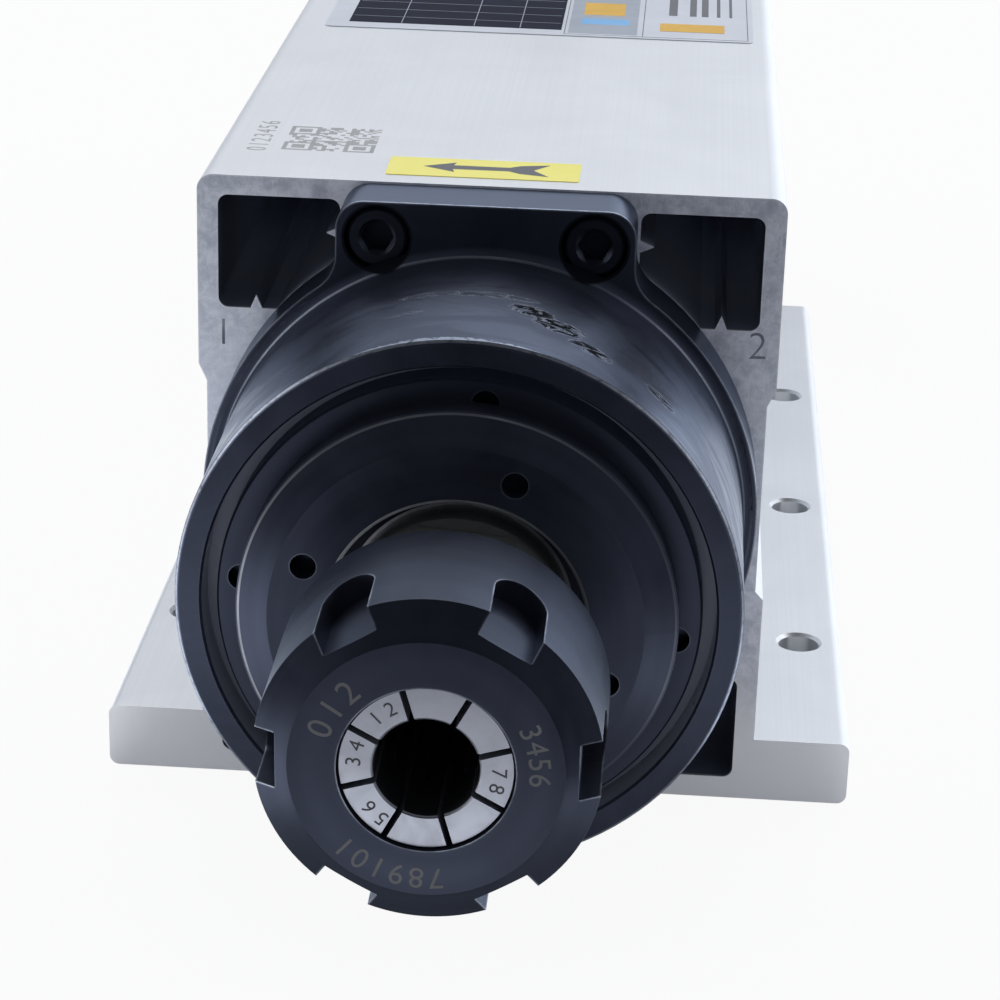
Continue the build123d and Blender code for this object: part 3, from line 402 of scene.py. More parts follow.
def near_screws(tree, spot):
    """1 in the two counterbores of the front plate, which are painted dark as shade, and where nothing
    rubs.
    """
    px, _, pz = put(tree, "SeparateXYZ", {0: spot["Point"]}).outputs
    aside = calc(tree, "SUBTRACT", calc(tree, "ABSOLUTE", px), screw_aside)
    above = calc(tree, "SUBTRACT", pz, screw_height)
    flat = put(tree, "CombineXYZ", {0: aside, 1: above}).outputs[0]
    away = put(tree, "VectorMath", {0: flat}, operation="LENGTH").outputs["Value"]
    in_plate = ramp(tree, spot["Along"], plate_face - 2.1, plate_face - 1.7)
    return times(tree, ramp(tree, away, counterbore + 0.2, counterbore - 0.2), in_plate)


print("nose radius", nose_radius, "front", round(nose_front, 2), "scuffs", len(scuffs))


# %% [markdown]
# ### Painted highlights along the edges of the nose
# Three edges get a thin painted highlight: the chipped front edge, the foot of the barrel, and the
# outline of the plate. Their place is known, so a ramp to each side of it
# draws the line, and noise makes it uneven.

# %% Edge masks
def chipped_edge(tree, spot, chips):
    """The front edge: bright all round, as rubbed metal and as a painted highlight, and chipped wider near
    the top.
    """
    at_edge = ramp(tree, spot["Radius"], nose_radius - 0.7, nose_radius - 0.5)
    near_top = patch(tree, spot, -4, nose_front, 22, 3.0)
    reach = calc(tree, "ADD", 0.42, times(tree, near_top, ramp(tree, chips, 0.34, 0.56, 0.0, 1.7)))
    behind_face = calc(tree, "SUBTRACT", spot["Along"], nose_front)
    chipped = ramp(tree, calc(tree, "SUBTRACT", behind_face, reach), 0.06, -0.02)
    uneven = ramp(tree, chips, 0.30, 0.55, 0.15, 0.60)
    return times(tree, chipped, ramp(tree, behind_face, 0.12, 0.22), at_edge, uneven)


def foot_line(tree, spot, smudge):
    """The foot of the barrel: a thin painted highlight in front of the plate, stronger on the left."""
    off_foot = calc(tree, "ABSOLUTE", calc(tree, "SUBTRACT", spot["Radius"], nose_radius + 0.22))
    before_plate = ramp(tree, spot["Along"], plate_face + 0.5, plate_face + 0.1)
    uneven = ramp(tree, smudge, 0.0, 1.0, 0.42, 0.22)
    from_left = ramp(tree, spot["Angle"], 0.0, 0.5, 1.0, 0.35)
    return times(tree, ramp(tree, off_foot, 0.20, 0.08), before_plate, uneven, from_left)


def plate_outline(tree, spot, chips):
    """The plate's outline: a thin painted highlight where its sides meet its face."""
    past_barrel = ramp(tree, spot["Radius"], nose_radius + 1.7, nose_radius + 2.0)
    near_face = ramp(tree, spot["Along"], plate_face + 0.48, plate_face + 0.30)
    on_side = opposite(tree, place(tree, "facing")["End"])
    return times(tree, near_face, past_barrel, on_side, ramp(tree, chips, 0.35, 0.55, 0.25, 0.85))


print("edge masks ready")


# %% [markdown]
# ### Scuffs on the barrel
# A scuff is a patch where the black has flaked. One noise, cut at two levels, gives both the dark
# flakes and the light rim round each of them.

# %% Scuff mask and the nose's material
def flaked_scuffs(tree, spot, flake_noise, on_barrel):
    """The masks of the dark flakes and of their light rims."""
    flaked, dark = 0.0, 0.0
    for angle, along, reach, width, depth in scuffs:
        here = patch(tree, spot, angle, along, reach, width)
        flaked = most(tree, flaked, here)
        dark = most(tree, dark, times(tree, here, depth))
    level = times(tree, flake_noise, ramp(tree, flaked, 0.0, 0.6, 0.80, 1.0))
    shown = times(tree, ramp(tree, flaked, 0.0, 0.3), on_barrel)
    core = ramp(tree, level, 0.462, 0.485)
    rim = calc(tree, "SUBTRACT", ramp(tree, level, 0.425, 0.450), core, clamp=True)
    return times(tree, core, times(tree, shown, dark)), times(tree, rim, shown)


def nose_steel():
    """Black steel with the marks above, counterbores painted dark as shade, and an unpolished recess."""
    made, tree = begin("nose_steel")
    spot = place(tree, "axis position")
    cuts = place(tree, "turned lines", Lines_per_mm=3.0)
    smudge = place(tree, "smudges", Size=16.0)["Shade"]
    chips = noise(tree, spot["Point"], 0.9, 6.0, roughness=0.75)
    counterbore_shade = near_screws(tree, spot)
    worn_and_lit = place(tree, "worn and lit edges", Width=0.45 * mm, Patches=0.45, Strength=1.0)["Mask"]
    # painted highlights: the lines along the plate outline, the front edge and the barrel foot join the
    # worn edges
    worn_and_lit = most(tree, worn_and_lit, plate_outline(tree, spot, chips), chipped_edge(tree, spot, chips),
                foot_line(tree, spot, smudge))
    worn_and_lit = times(tree, worn_and_lit, opposite(tree, counterbore_shade))
    past_foot = ramp(tree, spot["Radius"], nose_radius + 0.1, nose_radius + 0.4)
    in_fillet = times(tree, past_foot, ramp(tree, spot["Along"], plate_face - 0.02, plate_face - 0.10))
    on_barrel = times(tree, ramp(tree, spot["Radius"], nose_radius - 0.2, nose_radius - 0.1),
                      ramp(tree, spot["Along"], plate_face - 0.1, plate_face - 1.1))

    # both noises lie on the unrolled barrel, at 16 units for each radian, so they stretch round it
    unrolled = put(tree, "CombineXYZ", {0: times(tree, spot["Angle"], 16.0), 1: spot["Along"]}).outputs[0]
    flake_noise = noise(tree, unrolled, 0.55, 7.0, roughness=0.70, distortion=1.4, dimensions="2D")
    flake, rim = flaked_scuffs(tree, spot, flake_noise, on_barrel)
    rub_noise = noise(tree, unrolled, 0.13, 6.0, roughness=0.6, distortion=0.8, dimensions="2D")
    rub = times(tree, ramp(tree, rub_noise, 0.42, 0.62), on_barrel)
    marks = times(tree, place(tree, "scratches", Size=0.8, Share=0.35)["Mask"], on_barrel)
    speck = place(tree, "specks", Spacing=6.0, Radius=0.07)["Mask"]
    smear = times(tree, patch(tree, spot, 40, -33, 8, 6), ramp(tree, flake_noise, 0.40, 0.55))

    colour = dye(tree, smudge, grey(0.050, 0.38), grey(0.070, 0.38))
    colour = dye(tree, times(tree, rub, 0.5), colour, grey(0.088, 0.35))
    colour = dye(tree, flake, colour, grey(0.008))
    colour = dye(tree, times(tree, smear, on_barrel, 0.7), colour, grey(0.012))
    # painted shade: the counterbores are painted nearly black
    colour = dye(tree, counterbore_shade, colour, grey(0.010, 0.5))
    # bare steel and painted highlights: worn and lit edges, scratches, specks and flake rims
    bare_and_lit = most(tree, worn_and_lit, times(tree, most(tree, marks, speck), 0.35), times(tree, rim, 0.60))
    colour = dye(tree, bare_and_lit, colour, bare_and_lit_steel)
    dull = most(tree, times(tree, counterbore_shade, 0.55), times(tree, in_fillet, 0.40), times(tree, flake, 0.70),
                times(tree, smear, 0.15))
    matt = times(tree, on_barrel, opposite(tree, rub))
    uneven = calc(tree, "ADD", times(tree, smudge, 0.08), times(tree, matt, 0.10))
    roughness = calc(tree, "ADD", calc(tree, "ADD", 0.27, dull), uneven)

    # the recess behind the ring is a plain grey groove, which no polish reaches
    behind_face = calc(tree, "SUBTRACT", spot["Along"], nose_front)
    groove = times(tree, ramp(tree, spot["Radius"], ring_radius + 0.12, ring_radius),
                   ramp(tree, behind_face, 0.35, 0.6))
    colour = dye(tree, groove, colour, grey(0.30, 0.2))
    metallic = ramp(tree, groove, 0.0, 1.0, oxide_metal, 0.0)
    finish_shader(
        tree, [(cuts["Height"], 0.0010 * mm), (flake, -0.06 * mm)],
        Base_Color=colour, Metallic=metallic, Roughness=roughness, Specular_Tint=oil_sheen)
    return made


nose_finish = nose_steel()
print("material", nose_finish.name)


# %% [markdown]
# ## Aluminium
# The body is an extrusion with a satin anodised skin that has faint lines along its length.
# Its cut ends are bare: a milling cutter leaves arcs, and handling leaves grey blotches and scratches.
# The long air channels inside it are painted with shade: dark near their mouths and pale further in, so a
# mask finds their walls by their place.

# %% Material: extruded aluminium
body_half_width = 42.0
roof, foot = (body_top - axis_height) / mm, -axis_height / mm
cutter_below = 160.0


def inside_body(tree, spot, facing):
    """1 on the walls of the long air channels, and 0 on the outer skin and the cut ends."""
    px, _, pz = put(tree, "SeparateXYZ", {0: spot["Point"]}).outputs
    below_roof = ramp(tree, pz, roof - 1.0, roof - 2.0)
    above_foot = ramp(tree, pz, foot + 0.5, foot + 1.5)
    within = ramp(tree, calc(tree, "ABSOLUTE", px), body_half_width - 1.0, body_half_width - 2.0)
    past_front = ramp(tree, spot["Along"], 0.15, 0.6)
    not_end = opposite(tree, facing["End"])
    return times(tree, below_roof, above_foot, within, past_front, not_end)


def extruded_aluminium():
    """Anodised skin, bare cut ends and channel walls with painted shade, told apart by two masks."""
    made, tree = begin("extruded_aluminium")
    spot = place(tree, "axis position")
    facing = place(tree, "facing")
    drawn = put(tree, "Mapping", {"Vector": spot["Point"], "Scale": (1.0, 0.004, 1.0)}).outputs[0]
    line = noise(tree, drawn, 2.4, 4.0)
    haze = place(tree, "smudges", Size=30.0)["Shade"]
    skin = dye(tree, haze, (0.61, 0.63, 0.66, 1), (0.65, 0.67, 0.695, 1))
    skin = dye(tree, ramp(tree, line, 0.35, 0.65, 0.0, 0.16), skin, (0.56, 0.58, 0.62, 1))
    blotch = noise(tree, spot["Point"], 0.45, 8.0, roughness=0.72, distortion=0.3)
    cutter = put(tree, "VectorMath", {0: spot["Point"], 1: (0, 0, -cutter_below)},
                 operation="SUBTRACT").outputs[0]
    sweep = put(tree, "VectorMath", {0: cutter}, operation="LENGTH").outputs["Value"]
    arc = put(tree, "TexNoise", {"W": sweep, "Scale": 3.0, "Detail": 3.0}, noise_dimensions="1D").outputs[0]
    marks = place(tree, "scratches", Size=1.3, Share=0.75)["Mask"]
    cut = dye(tree, ramp(tree, blotch, 0.34, 0.66), (0.54, 0.57, 0.67, 1), (0.79, 0.82, 0.91, 1))
    # painted highlight: the cut end is painted near-white towards its foot
    lower_end_highlight = ramp(tree, spot["Height"], -22.0, -40.0, 0.0, 0.95)
    cut = dye(tree, lower_end_highlight, cut, (0.97, 0.98, 1.0, 1))
    cut = dye(tree, times(tree, marks, 0.5), cut, (0.95, 0.96, 0.98, 1))
    worn_and_lit = place(tree, "worn and lit edges", Width=0.45 * mm, Patches=0.6, Strength=0.9)["Mask"]
    hidden = inside_body(tree, spot, facing)
    colour = dye(tree, facing["End"], skin, cut)
    # worn edges painted near-white: wear and a painted edge highlight
    colour = dye(tree, times(tree, worn_and_lit, 0.8), colour, (0.92, 0.93, 0.95, 1))
    # painted shade: channel walls dark near the mouth, pale further in
    channel_shade = dye(tree, ramp(tree, spot["Along"], 2.0, 45.0), (0.075, 0.088, 0.125, 1), (0.66, 0.72, 0.86, 1))
    colour = dye(tree, hidden, colour, channel_shade)
    rough_skin = calc(tree, "ADD", 0.38, times(tree, line, 0.08))
    rough_cut = ramp(tree, blotch, 0.3, 0.7, 0.30, 0.48)
    roughness = put(tree, "Mix", {0: facing["End"], 2: rough_skin, 3: rough_cut}).outputs[0]
    roughness = calc(tree, "ADD", roughness, times(tree, hidden, 0.4))
    cut_metallic = ramp(tree, lower_end_highlight, 0.0, 1.0, 0.62, 0.35)
    metallic = put(tree, "Mix", {0: facing["End"], 2: 0.85, 3: cut_metallic}).outputs[0]
    metallic = times(tree, metallic, opposite(tree, hidden))
    grain = times(tree, arc, facing["End"])
    finish_shader(
        tree, [(line, 0.0006 * mm), (grain, 0.003 * mm), (blotch, 0.008 * mm)],
        Base_Color=colour, Metallic=metallic, Roughness=roughness)
    return made


def cast_aluminium():
    """Grainy cast metal, darker in its corners with dirt and painted shade."""
    made, tree = begin("cast_aluminium")
    spot = place(tree, "axis position")
    grain = noise(tree, spot["Point"], 1.4, 5.0)
    haze = place(tree, "smudges", Size=18.0)["Shade"]
    dirt_and_shade = place(tree, "corner dirt and shade", Reach=2.0 * mm)["Mask"]
    worn_and_lit = place(tree, "worn and lit edges", Width=0.5 * mm, Patches=0.6, Strength=0.6)["Mask"]
    colour = dye(tree, haze, (0.48, 0.49, 0.52, 1), (0.60, 0.61, 0.64, 1))
    # dirt and painted shade: darker in the corners
    colour = dye(tree, times(tree, dirt_and_shade, 0.6), colour, (0.22, 0.22, 0.23, 1))
    # worn edges painted pale: wear and a painted edge highlight
    colour = dye(tree, worn_and_lit, colour, (0.82, 0.83, 0.85, 1))
    finish_shader(tree, [(grain, 0.02 * mm)], Base_Color=colour, Metallic=0.8,
                  Roughness=ramp(tree, grain, 0.3, 0.7, 0.38, 0.55))
    return made


body_finish = extruded_aluminium()
cast_finish = cast_aluminium()
print("materials", body_finish.name, cast_finish.name)


# %% [markdown]
# ## Bright steel and plated metal
# Bearing rings, the collet and the shaft are ground: bright, with very fine rings round the axis.
# Plated parts are smoother and pick up only small smudges.

# %% Material: ground steel
def ground_steel(title, tint, roughness=0.28, dirt_and_shade_share=0.5, lines=6.0, scratched=0.4, dark_bore=0.0):
    """dark_bore is the radius in millimetres that the bore's painted shade reaches to: black and matt, as
    an unlit, oily bore.
    """
    made, tree = begin(title)
    cuts = place(tree, "turned lines", Lines_per_mm=lines)
    smudge = place(tree, "smudges", Size=7.0)["Shade"]
    dirt_and_shade = place(tree, "corner dirt and shade", Reach=0.7 * mm)["Mask"]
    marks = place(tree, "scratches", Size=1.8, Share=scratched)["Mask"]
    colour = dye(tree, smudge, tint, tuple(0.82 * part for part in tint[:3]) + (1,))
    # dirt and painted shade: darker in the corners
    colour = dye(tree, times(tree, dirt_and_shade, dirt_and_shade_share), colour, (0.05, 0.05, 0.055, 1))
    colour = dye(tree, times(tree, marks, 0.4), colour, (0.85, 0.86, 0.88, 1))
    metallic = 0.9
    if dark_bore:
        radius = place(tree, "axis position")["Radius"]
        bore_shade = ramp(tree, radius, dark_bore + 0.15, dark_bore - 0.05)
        # painted shade: the bore is painted black
        colour = dye(tree, bore_shade, colour, (0.004, 0.005, 0.008, 1))
        metallic = ramp(tree, bore_shade, 0.0, 1.0, 0.9, 0.0)
        roughness = ramp(tree, bore_shade, 0.0, 1.0, roughness, 0.85)
    finish_shader(tree, [(cuts["Height"], 0.0008 * mm)], Base_Color=colour, Metallic=metallic,
                  Roughness=calc(tree, "ADD", roughness, times(tree, smudge, 0.12)))
    return made


bright_steel = ground_steel("bright_steel", (0.62, 0.63, 0.65, 1))
collet_steel = ground_steel("collet_steel", (0.50, 0.52, 0.59, 1), roughness=0.29, dirt_and_shade_share=0.8,
                            scratched=0.5, dark_bore=6.4)
shaft_steel = ground_steel("shaft_steel", (0.30, 0.31, 0.30, 1), roughness=0.30)
polished_steel = ground_steel("polished_steel", (0.74, 0.75, 0.77, 1), roughness=0.10, scratched=0.1)
zinc_plate = ground_steel("zinc_plate", (0.58, 0.60, 0.63, 1), roughness=0.26)
nickel_plate = ground_steel("nickel_plate", (0.70, 0.69, 0.66, 1), roughness=0.14, scratched=0.2)
spring_steel = ground_steel("spring_steel", (0.24, 0.25, 0.27, 1), roughness=0.34)
brass = ground_steel("brass", (0.72, 0.53, 0.24, 1), roughness=0.26)
gilt_brass = ground_steel("gilt_brass", (0.85, 0.66, 0.30, 1), roughness=0.18)
print("ground and plated materials ready")


# %% [markdown]
# ## Coatings, mouldings and the motor's insides
# The cowl is powder-coated, which leaves an orange-peel surface. The fan and the plug's insert are
# moulded. Inside the motor are stacked sheets of steel and varnished copper.

# %% Material: moulded and coated parts
def moulded(title, colour_low, colour_high, roughness, grain_scale, grain_depth, wear=0.2):
    """A coating or a moulding with a fine grain. grain_depth is in millimetres."""
    made, tree = begin(title)
    spot = place(tree, "axis position")
    grain = noise(tree, spot["Point"], grain_scale, 3.0)
    haze = place(tree, "smudges", Size=15.0)["Shade"]
    worn_and_lit = place(tree, "worn and lit edges", Width=0.4 * mm, Patches=0.8, Strength=wear)["Mask"]
    dirt_and_shade = place(tree, "corner dirt and shade", Reach=1.5 * mm)["Mask"]
    colour = dye(tree, haze, colour_low, colour_high)
    # dirt and painted shade: darker in the corners
    colour = dye(tree, times(tree, dirt_and_shade, 0.3), colour, (0.10, 0.095, 0.085, 1))
    # worn edges painted grey: wear and a painted edge highlight
    colour = dye(tree, worn_and_lit, colour, (0.30, 0.30, 0.31, 1))
    finish_shader(tree, [(grain, grain_depth * mm)], Base_Color=colour,
                  Roughness=calc(tree, "ADD", roughness, times(tree, haze, 0.12)), Metallic=0.0)
    return made


powder_coat = moulded("powder_coat", (0.012, 0.012, 0.014, 1), (0.020, 0.020, 0.023, 1), 0.42, 1.6, 0.05)
black_nylon = moulded("black_nylon", (0.014, 0.014, 0.015, 1), (0.024, 0.024, 0.025, 1), 0.48, 3.0, 0.01)
black_rubber = moulded("black_rubber", (0.010, 0.010, 0.010, 1), (0.022, 0.021, 0.020, 1), 0.70, 4.0, 0.01,
                       wear=0.0)
phenolic = moulded("phenolic", (0.36, 0.19, 0.07, 1), (0.46, 0.26, 0.10, 1), 0.50, 2.5, 0.01)
print("moulded and coated materials ready")


# %% Material: sheet stack and windings
winding_radius = 33.0


def striped(title, low, high, pitch, metallic, roughness, angled=False):
    """Thin layers side by side: sheets of steel along the axis, or strands of wire round it.
    pitch is in millimetres."""
    made, tree = begin(title)
    spot = place(tree, "axis position")
    across = times(tree, spot["Angle"], winding_radius) if angled else spot["Along"]
    wave = calc(tree, "SINE", times(tree, across, 2 * math.pi / pitch))
    shade = ramp(tree, wave, -0.6, 0.6)
    haze = place(tree, "smudges", Size=10.0)["Shade"]
    colour = dye(tree, shade, low, high)
    colour = dye(tree, times(tree, haze, 0.3), colour, low)
    finish_shader(tree, [(shade, 0.06 * mm)], Base_Color=colour, Metallic=metallic, Roughness=roughness)
    return made


sheet_stack = striped("sheet_stack", (0.12, 0.12, 0.13, 1), (0.30, 0.30, 0.32, 1), 0.5, 0.8, 0.42)
copper_wire = striped("copper_wire", (0.30, 0.09, 0.03, 1), (0.62, 0.25, 0.10, 1), 0.9, 0.7, 0.30, True)
print("motor materials", sheet_stack.name, copper_wire.name)

# %% [markdown]
# ## Hand the finishes to the CAD nodes
# A CAD node keeps its mesh and its place. Only the material in its slot changes.

# %% Assign materials
finish_of = {
    "body_extrusion": body_finish, "front_housing": nose_finish, "front_housing_screws": screw_steel,
    "bearing_gland": gland_steel, "dust_cap": cap_steel, "flinger_ring": flinger_steel,
    "spindle_shaft": shaft_steel, "collet": collet_steel, "collet_nut": nut_steel,
    "front_bearing_outer_rings": bright_steel, "front_bearing_inner_rings": bright_steel,
    "front_bearing_cages": phenolic, "front_bearing_balls": polished_steel,
    "inner_bearing_spacer": bright_steel, "outer_bearing_spacer": bright_steel,
    "shaft_locknut": spring_steel, "rotor_core": sheet_stack, "rotor_cage": cast_finish,
    "stator_core": sheet_stack, "stator_windings": copper_wire, "rear_end_cover": cast_finish,
    "rear_cover_screws": screw_steel, "rear_bearing_outer_ring": bright_steel,
    "rear_bearing_inner_ring": bright_steel, "rear_bearing_cage": brass,
    "rear_bearing_balls": polished_steel, "preload_spring": spring_steel,
    "bearing_circlip": spring_steel, "fan_impeller": black_nylon, "fan_washer": zinc_plate,
    "fan_screw": zinc_plate, "fan_cowl": powder_coat, "cowl_screws": screw_steel,
    "inlet_gasket": black_rubber, "inlet_shell": nickel_plate, "inlet_insert": black_nylon,
    "inlet_pins": gilt_brass, "inlet_screws": nickel_plate,
}
for name, part in nodes.items():
    for held in part.material_slots:
        held.material = finish_of[name]
print("finished nodes", len(finish_of), "without a finish", sorted(set(nodes) - set(finish_of)))


# %% [markdown]
# ## Thin pieces on the body
# Stickers, plates and marks are real pieces with a real thickness: a vinyl sticker is 0.1 mm thick.
# Each starts as an outline of a few points, which is filled, then raised by an extrusion.

# %% Object helpers
def add_object(title, data):
    """Puts a mesh, a lamp, a curve or a camera into the scene."""
    added = bpy.data.objects.new(title, data)
    bpy.context.scene.collection.objects.link(added)
    return added


def finish_piece(bm, title, material, body):
    """Turns the faces outwards, makes the mesh an object and lets it ride on a body."""
    bmesh.ops.recalc_face_normals(bm, faces=bm.faces)
    mesh = bpy.data.meshes.new(title)
    bm.to_mesh(mesh)
    bm.free()
    mesh.materials.append(material)
    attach(add_object(title, mesh), body)
    print(title, len(mesh.polygons), "faces")


def raise_faces(bm, faces, height):
    """Extrudes flat faces straight up, or down where the height is below 0."""
    raised = bmesh.ops.extrude_face_region(bm, geom=faces)
    moved = [v for v in raised["geom"] if isinstance(v, bmesh.types.BMVert)]
    bmesh.ops.translate(bm, verts=moved, vec=(0, 0, height))


# %% Outline helper
def flat_piece(title, outlines, bottom, top, material, corner=0.0):
    """One mesh of flat raised shapes. Each outline is (x, station) points in millimetres, seen from
    above; bottom and top are heights in metres. corner rounds the upright edges, in millimetres."""
    bm = bmesh.new()
    for outline in outlines:
        corners = [bm.verts.new((px * mm, front + py * mm, bottom)) for px, py in outline]
        face = bm.faces.new(corners)
        face.normal_update()
        if face.normal.z > 0:
            face.normal_flip()
        raise_faces(bm, [face], top - bottom)
    if corner:
        upright = [e for e in bm.edges if abs(e.verts[0].co.z - e.verts[1].co.z) > (top - bottom) / 2]
        bmesh.ops.bevel(bm, geom=upright, offset=corner * mm, offset_type="OFFSET", segments=4,
                        profile=0.5, affect="EDGES", material=-1)
    finish_piece(bm, title, material, "housing")


def rectangle(x0, x1, y0, y1):
    """A rectangle's corners, anticlockwise from above."""
    return [(x0, y0), (x1, y0), (x1, y1), (x0, y1)]


# %% [markdown]
# ### The turning-direction sticker
# A yellow vinyl sticker with a dark arrow says which way the shaft turns.
# The arrow is a separate thin layer of ink, so its edge stays crisp.

# %% Printed finishes
def printed(title, low, high, roughness, metallic=0.0, gloss=0.25):
    """Ink, vinyl or paint: nearly even, with faint clouds, grain and dust. gloss is the specular level."""
    made, tree = begin(title)
    spot = place(tree, "axis position")
    grain = noise(tree, spot["Point"], 2.0, 3.0)
    haze = place(tree, "smudges", Size=9.0)["Shade"]
    speck = place(tree, "specks", Spacing=4.0, Radius=0.03)["Mask"]
    colour = dye(tree, haze, low, high)
    colour = dye(tree, times(tree, speck, 0.4), colour, (0.5, 0.5, 0.5, 1))
    finish_shader(tree, [(grain, 0.004 * mm)], Base_Color=colour, Metallic=metallic,
                  Roughness=calc(tree, "ADD", roughness, times(tree, haze, 0.08)),
                  Specular_IOR_Level=gloss)
    return made


yellow_vinyl = printed("yellow_vinyl", (0.96, 0.88, 0.20, 1), (0.98, 0.91, 0.26, 1), 0.45, gloss=0.2)
grey_ink = printed("grey_ink", (0.105, 0.110, 0.130, 1), (0.125, 0.130, 0.150, 1), 0.45)
sticker_top = body_top + 0.10 * mm
flat_piece("direction_sticker", [rectangle(-15.5, 12.25, 3.9, 13.5)], body_top, sticker_top,
           yellow_vinyl, corner=0.4)
arrow_middle = 8.9
arrow_half = [(-10.4, 0.0), (-5.8, 2.5), (-6.1, 1.0), (2.0, 0.95), (3.6, 2.1), (7.8, 3.1), (5.5, 0.0)]
arrow_outline = [(px, arrow_middle + py) for px, py in arrow_half]
arrow_outline += [(px, arrow_middle - py) for px, py in reversed(arrow_half[1:-1])]
flat_piece("direction_arrow", [arrow_outline], sticker_top, sticker_top + 0.02 * mm, grey_ink)

# %% [markdown]
# ### The data plate
# A printed plate on top of the body carries the motor's data. It is left without words here:
# a silver plate, a dark panel with fine ruling, plain coloured fields and a few bars.
# Every layer of ink is a little higher than the one below it, so no two faces share a plane.

# %% Data plate
plate_silver = printed("plate_silver", (0.54, 0.57, 0.63, 1), (0.60, 0.63, 0.69, 1), 0.38, metallic=0.4)
navy_ink = printed("navy_ink", (0.008, 0.012, 0.028, 1), (0.020, 0.026, 0.048, 1), 0.60, gloss=0.04)
pale_ink = printed("pale_ink", (0.36, 0.40, 0.47, 1), (0.42, 0.46, 0.53, 1), 0.45, gloss=0.1)
blue_ink = printed("blue_ink", (0.20, 0.46, 0.80, 1), (0.26, 0.52, 0.84, 1), 0.45, gloss=0.1)
amber_ink = printed("amber_ink", (0.72, 0.42, 0.06, 1), (0.80, 0.50, 0.10, 1), 0.45, gloss=0.1)
plate_top = body_top + 0.12 * mm
ink_top = plate_top + 0.02 * mm
line_top = ink_top + 0.01 * mm
plate_start, plate_end = 96.9, 148.0
half_line = 0.07
flat_piece("data_plate", [rectangle(-35.7, 38.1, plate_start, plate_end)], body_top, plate_top,
           plate_silver, corner=1.0)
flat_piece("data_panel", [rectangle(-31.9, 5.0, plate_start + 4.0, plate_end - 12.0)],
           plate_top, ink_top, navy_ink)
flat_piece("pale_field", [rectangle(6.2, 18.1, plate_start + 2.2, plate_end - 4)],
           plate_top, ink_top, pale_ink)
flat_piece("amber_fields", [rectangle(8.4, 15.6, plate_start + 17.0, plate_start + 27.0),
                            rectangle(22.0, 33.2, plate_start + 6.2, plate_start + 12.4)],
           ink_top, line_top, amber_ink)
flat_piece("blue_field", [rectangle(8.2, 16.6, plate_start + 9.5, plate_start + 14.0)],
           ink_top, line_top, blue_ink)

# %% Bars, ruling and frames of the data plate
bars = [rectangle(x, x + wide, plate_start + 19.0, plate_end - 6) for x, wide in
        ((23.4, 1.5), (27.1, 1.2), (29.2, 1.2), (31.9, 0.6), (34.1, 0.5))]
flat_piece("dark_bars", bars, plate_top, ink_top, grey_ink)
rules = [rectangle(x - half_line, x + half_line, plate_start + 4.4, plate_end - 12.4)
         for x in (-22.8, -10.2, -2.2)]
rules += [rectangle(-31.5, 4.6, y - half_line, y + half_line) for y in (106.0, 112.0, 118.0, 124.0, 130.0)]
flat_piece("panel_ruling", rules, ink_top, line_top, pale_ink)
frame_start = plate_start + 1.2
frames = [rectangle(x - half_line, x + half_line, frame_start, plate_end - 3) for x in (5.6, 19.1, 37.2)]
frames.append(rectangle(5.6, 37.2, frame_start - half_line, frame_start + half_line))
flat_piece("field_frames", frames, plate_top, ink_top, grey_ink)

# %% [markdown]
# ### The laser-marked square
# A square of small cells is burnt into the skin by a laser. Here the cells are random, so they
# say nothing, and only the three corner squares are drawn. One grid is made, the unmarked cells
# are deleted, and the rest becomes a hair-thin layer.

# %% Laser-marked square
etched = printed("etched_skin", (0.36, 0.37, 0.37, 1), (0.44, 0.45, 0.45, 1), 0.60, metallic=0.2)
cells_across, corner_cells = 21, 7
mark_side = 13.6 * mm
mark_height = 0.004 * mm
mark_low = Vector((-32.0 * mm, front + 15.0 * mm, body_top + mark_height))
draw = random.Random(5)


def corner_mark(column, row):
    """Whether a cell of a corner square is marked, or None where the cell is in none of the three."""
    far, middle = cells_across - corner_cells, corner_cells // 2
    for left, low in ((0, 0), (0, far), (far, 0)):
        if left <= column < left + corner_cells and low <= row < low + corner_cells:
            ring = max(abs(column - left - middle), abs(row - low - middle))
            return ring != middle - 1
    return None


def cell_order(face):
    """Sorts the cells by column, then by row, so that the draws always come in the same order."""
    middle = face.calc_center_median()
    return round(middle.x, 6), round(middle.y, 6)


bm = bmesh.new()
bmesh.ops.create_grid(bm, x_segments=cells_across, y_segments=cells_across, size=mark_side / 2)
bmesh.ops.translate(bm, verts=bm.verts, vec=mark_low + Vector((mark_side, mark_side, 0)) / 2)
unmarked = []
for face in sorted(bm.faces, key=cell_order):
    cell = (face.calc_center_median() - mark_low) / (mark_side / cells_across)
    marked = corner_mark(int(cell.x), int(cell.y))
    if marked is None:
        marked = draw.random() < 0.5
    if not marked:
        unmarked.append(face)
bmesh.ops.delete(bm, geom=unmarked, context="FACES")
raise_faces(bm, list(bm.faces), -mark_height)
finish_piece(bm, "laser_square", etched, "housing")


# %% [markdown]
# ### Plain numbers
# Real spindles are stamped and engraved with names and sizes. Here their places hold plain counting
# numbers. Each digit is a text object that becomes a mesh, is set in its place, and joins the others.

# %% Digit helper
font_per_height = 1.4


